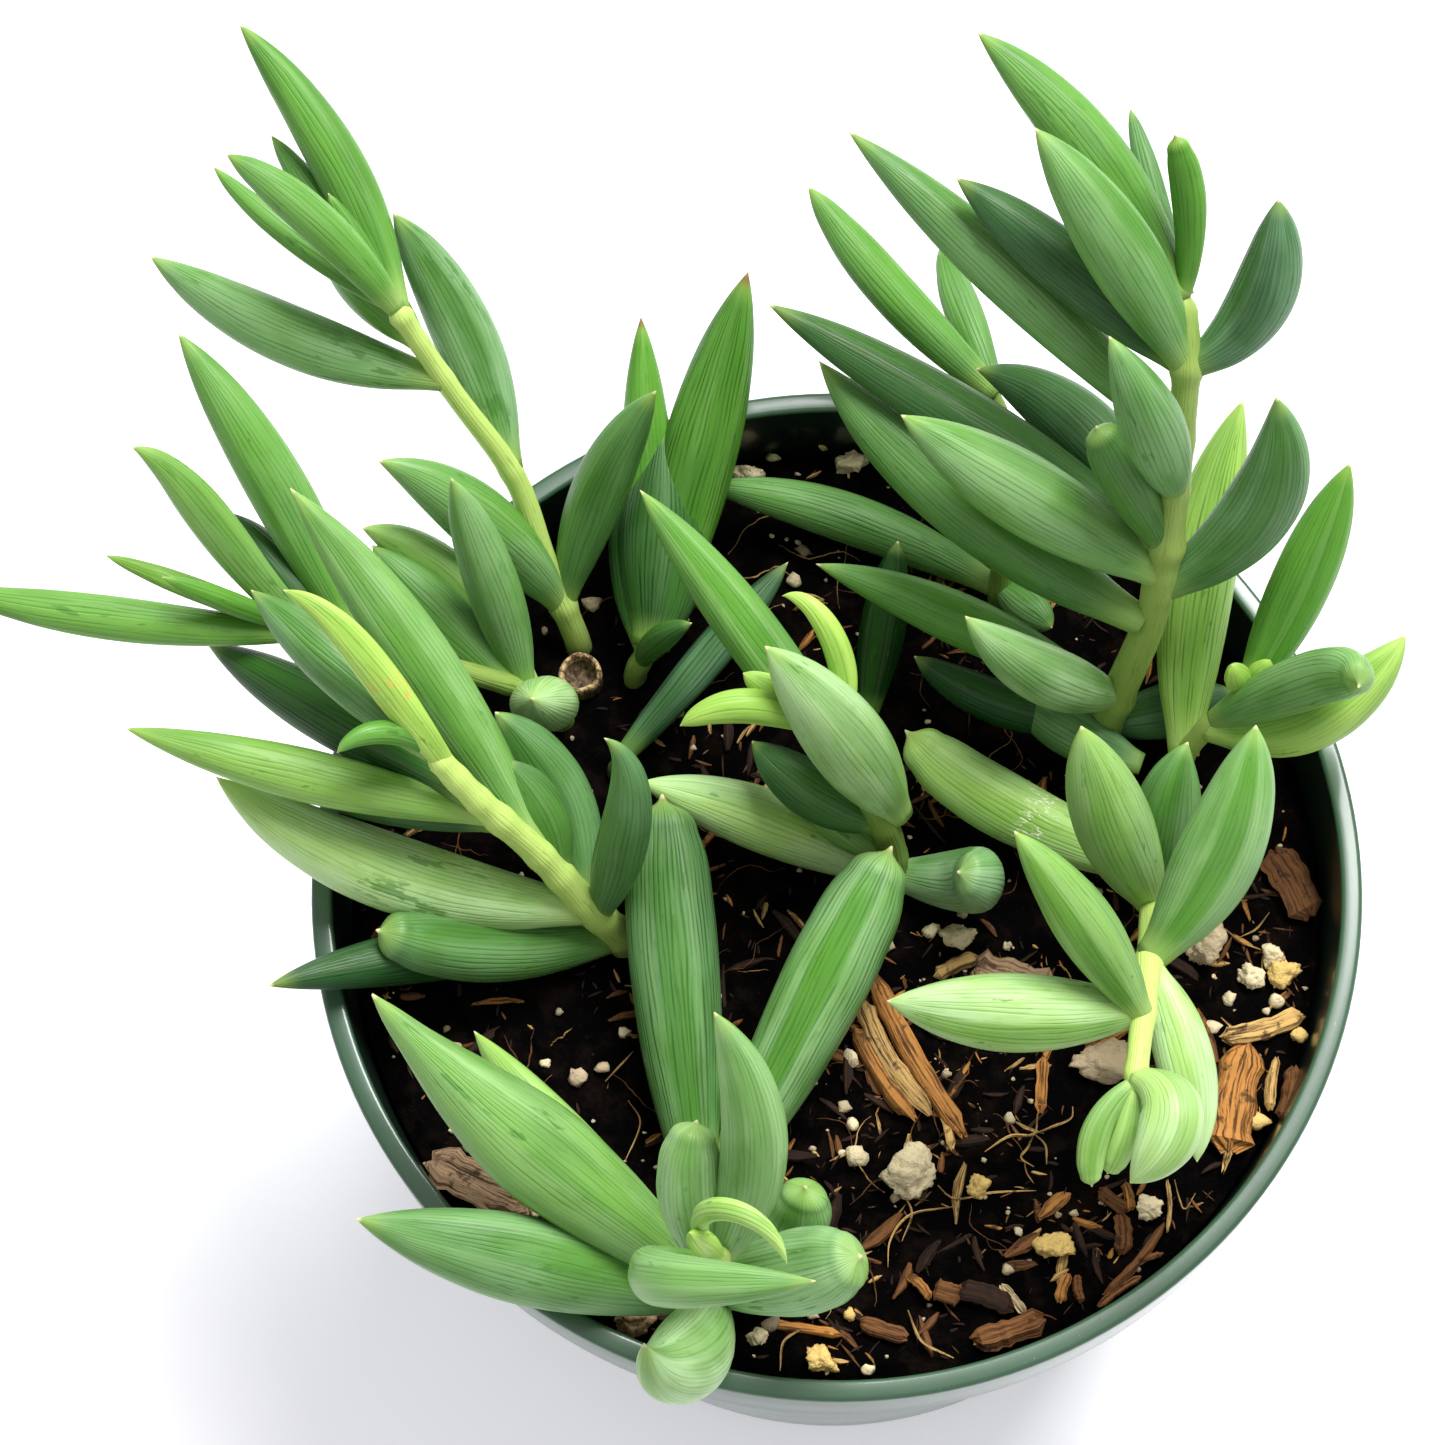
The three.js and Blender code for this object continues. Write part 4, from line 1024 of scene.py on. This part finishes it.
def make_litter(bark, perlite):
    """What lies on the soil: bark chips and slivers, perlite grains, and fine roots."""
    rng = random.Random(7)
    edge = inside_radius(SOIL_LEVEL) - GAP
    feet = [(seen(*stem["route"][0]), stem["radius"]) for stem in STEMS.values()]
    feet.append((seen(*STUB["at"]), STUB["radius"]))

    def spot(margin, spread=1.0):
        """A free place on the soil. A small spread crowds places together, most at the right and front."""
        while True:
            r = (edge - margin) * math.sqrt(rng.random())
            a = rng.uniform(0, 2 * math.pi)
            x, y = r * math.cos(a), r * math.sin(a)
            crowd = 1.4 * noise.noise(Vector((x, y, 9)) * 0.13) + 0.45 * (0.5 * x - 0.85 * y) / edge
            if spread < 1 and crowd < rng.uniform(-spread, 0.5):
                continue
            if all(math.hypot(x - p[0], y - p[1]) > radius + margin for p, radius in feet):
                return x, y

    chips = Shape()
    for x0, y0, x1, y1, width, thick, colour in BARK_CHIPS:
        start, end = seen(x0, y0, 1), seen(x1, y1, 1)
        run = end - start
        x, y, _ = (start + end) / 2
        add_chip(chips, np.array([x, y, resting(x, y, thick * 0.25)]), np.linalg.norm(run), width, thick,
                 math.atan2(run[1], run[0]), 0.03, BARK_COLOURS[colour], rng, 12, 12)
    kinds = ["dark"] * 5 + ["brown", "brown", "orange", "tan"]
    for _ in range(SMALL_CHIPS):
        length = min(0.7 + rng.expovariate(0.9), 6)
        x, y = spot(0.6 + length / 2, 0.35)
        width = length * rng.uniform(0.08, 0.32)
        thick = min(width, 1.4) * rng.uniform(0.5, 0.9)
        centre = np.array([x, y, SOIL_LEVEL + crumbs(x, y) + thick * 0.2])
        add_chip(chips, centre, length, width, thick, rng.uniform(0, math.pi), rng.gauss(0, 0.2),
                 BARK_COLOURS[rng.choice(kinds)], rng)
    for _ in range(FIBRES):
        x, y = spot(8)
        add_fibre(chips, (x, y, SOIL_LEVEL + 0.5), rng.uniform(0, 2 * math.pi), rng.uniform(3, 11),
                  rng.uniform(0.04, 0.09), BARK_COLOURS[rng.choice(["tan", "brown", "brown"])], rng)
    for pixels, radius in ROOTS:
        add_root(chips, pixels, radius, BARK_COLOURS["tan"])
    piece = chips.piece("bark_litter", bark, smooth=False)
    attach(piece, "root")

    grains = Shape()
    for across, down, width, colour in PERLITE_GRAINS:
        x, y, _ = seen(across, down, 1)
        verts, faces = pebble(rng, width, (x, y, resting(x, y, 0.1 * width)))
        grains.solid(verts, faces, PERLITE_COLOURS[colour][:3])
    for _ in range(SMALL_GRAINS):
        x, y = spot(1.0)
        width = min(0.3 + rng.expovariate(2.2), 2.2)
        verts, faces = pebble(rng, width, (x, y, SOIL_LEVEL + crumbs(x, y) + 0.15 * width))
        shade = rng.uniform(0.45, 1.0)
        colour = PERLITE_COLOURS[rng.choice(["cream", "cream", "dusty"])][:3]
        grains.solid(verts, faces, np.array(colour) * shade)
    piece = grains.piece("perlite_grains", perlite)
    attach(piece, "root")


def make_stub(material):
    """The dry stub of a cut stem, hollow at its top."""
    x, y, top = seen(*STUB["at"])
    outer, inner = STUB["radius"], STUB["radius"] - STUB["wall"]
    bottom = SOIL_LEVEL - STEM_ROOT_DEPTH
    profile = [
        (0, bottom), (outer, bottom), (outer, top - 1), (outer, top - 0.4), (outer - 0.2, top),
        (inner + 0.1, top), (inner, top - 0.3), (inner, top - 1.4), (inner - 0.4, top - 1.7), (0, top - 1.9),
    ]
    mesh = turned(profile, 40)
    # Without a seed, Blender's vector noise would be other in each run
    noise.seed_set(1)
    for v in mesh.vertices:
        v.co += noise.noise_vector(v.co * STUB["bumps"]) * STUB["rough"]
        v.co.x += x * MM
        v.co.y += y * MM
    stub = link("old_stub_fine", mesh, material)
    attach(stub, "root")
    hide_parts("old_stub")


def make_studio():
    """A pale floor, soft light from behind and above, and the camera at the photograph's angle."""
    n = Nodes("studio_floor")
    n.set(Base_Color=(0.97, 0.965, 0.985, 1), Roughness=0.8, Emission_Color=(0.93, 0.91, 1, 1),
          Emission_Strength=0.33)
    mesh = bpy.data.meshes.new("studio_floor")
    reach = 3.0
    mesh.from_pydata([(-reach, -reach, 0), (reach, -reach, 0), (reach, reach, 0), (-reach, reach, 0)], [],
                     [(0, 1, 2, 3)])
    floor = link("studio_floor", mesh, n.material, smooth=False)

    scene = bpy.context.scene
    scene.view_settings.view_transform = "Standard"
    scene.world = bpy.data.worlds.new("studio")
    scene.world.use_nodes = True
    sky = scene.world.node_tree.nodes["Background"].inputs
    sky["Color"].default_value = (1, 1, 1, 1)
    sky["Strength"].default_value = 0.56

    light = bpy.data.lights.new("key", "AREA")
    light.shape = "DISK"
    light.size = 0.5
    light.energy = 13
    lamp = placed("key", light)
    lamp.location = (0.22, 0.44, 0.88)
    lamp.rotation_euler = (Vector((0, 0, 0.08)) - lamp.location).to_track_quat("-Z", "Y").to_euler()

    camera = placed("camera", bpy.data.cameras.new("camera"))
    camera.data.sensor_width = 36
    camera.data.lens = 36 * FOCAL / PICTURE
    camera.data.clip_start = 0.01
    axes = Matrix([[rightward[i], upward[i], -forward[i]] for i in range(3)])
    camera.matrix_world = Matrix.Translation(Vector(EYE * MM)) @ axes.to_4x4()
    scene.camera = camera


make_studio()
skin = leaf_material()
for order, (stem_name, stem_plan) in enumerate(STEMS.items()):
    leafy_stem(stem_name, stem_plan, skin, random.Random(order + 1))
make_pot(pot_material())
make_soil(soil_material())
make_litter(bark_material(), perlite_material())
make_stub(dry_material())
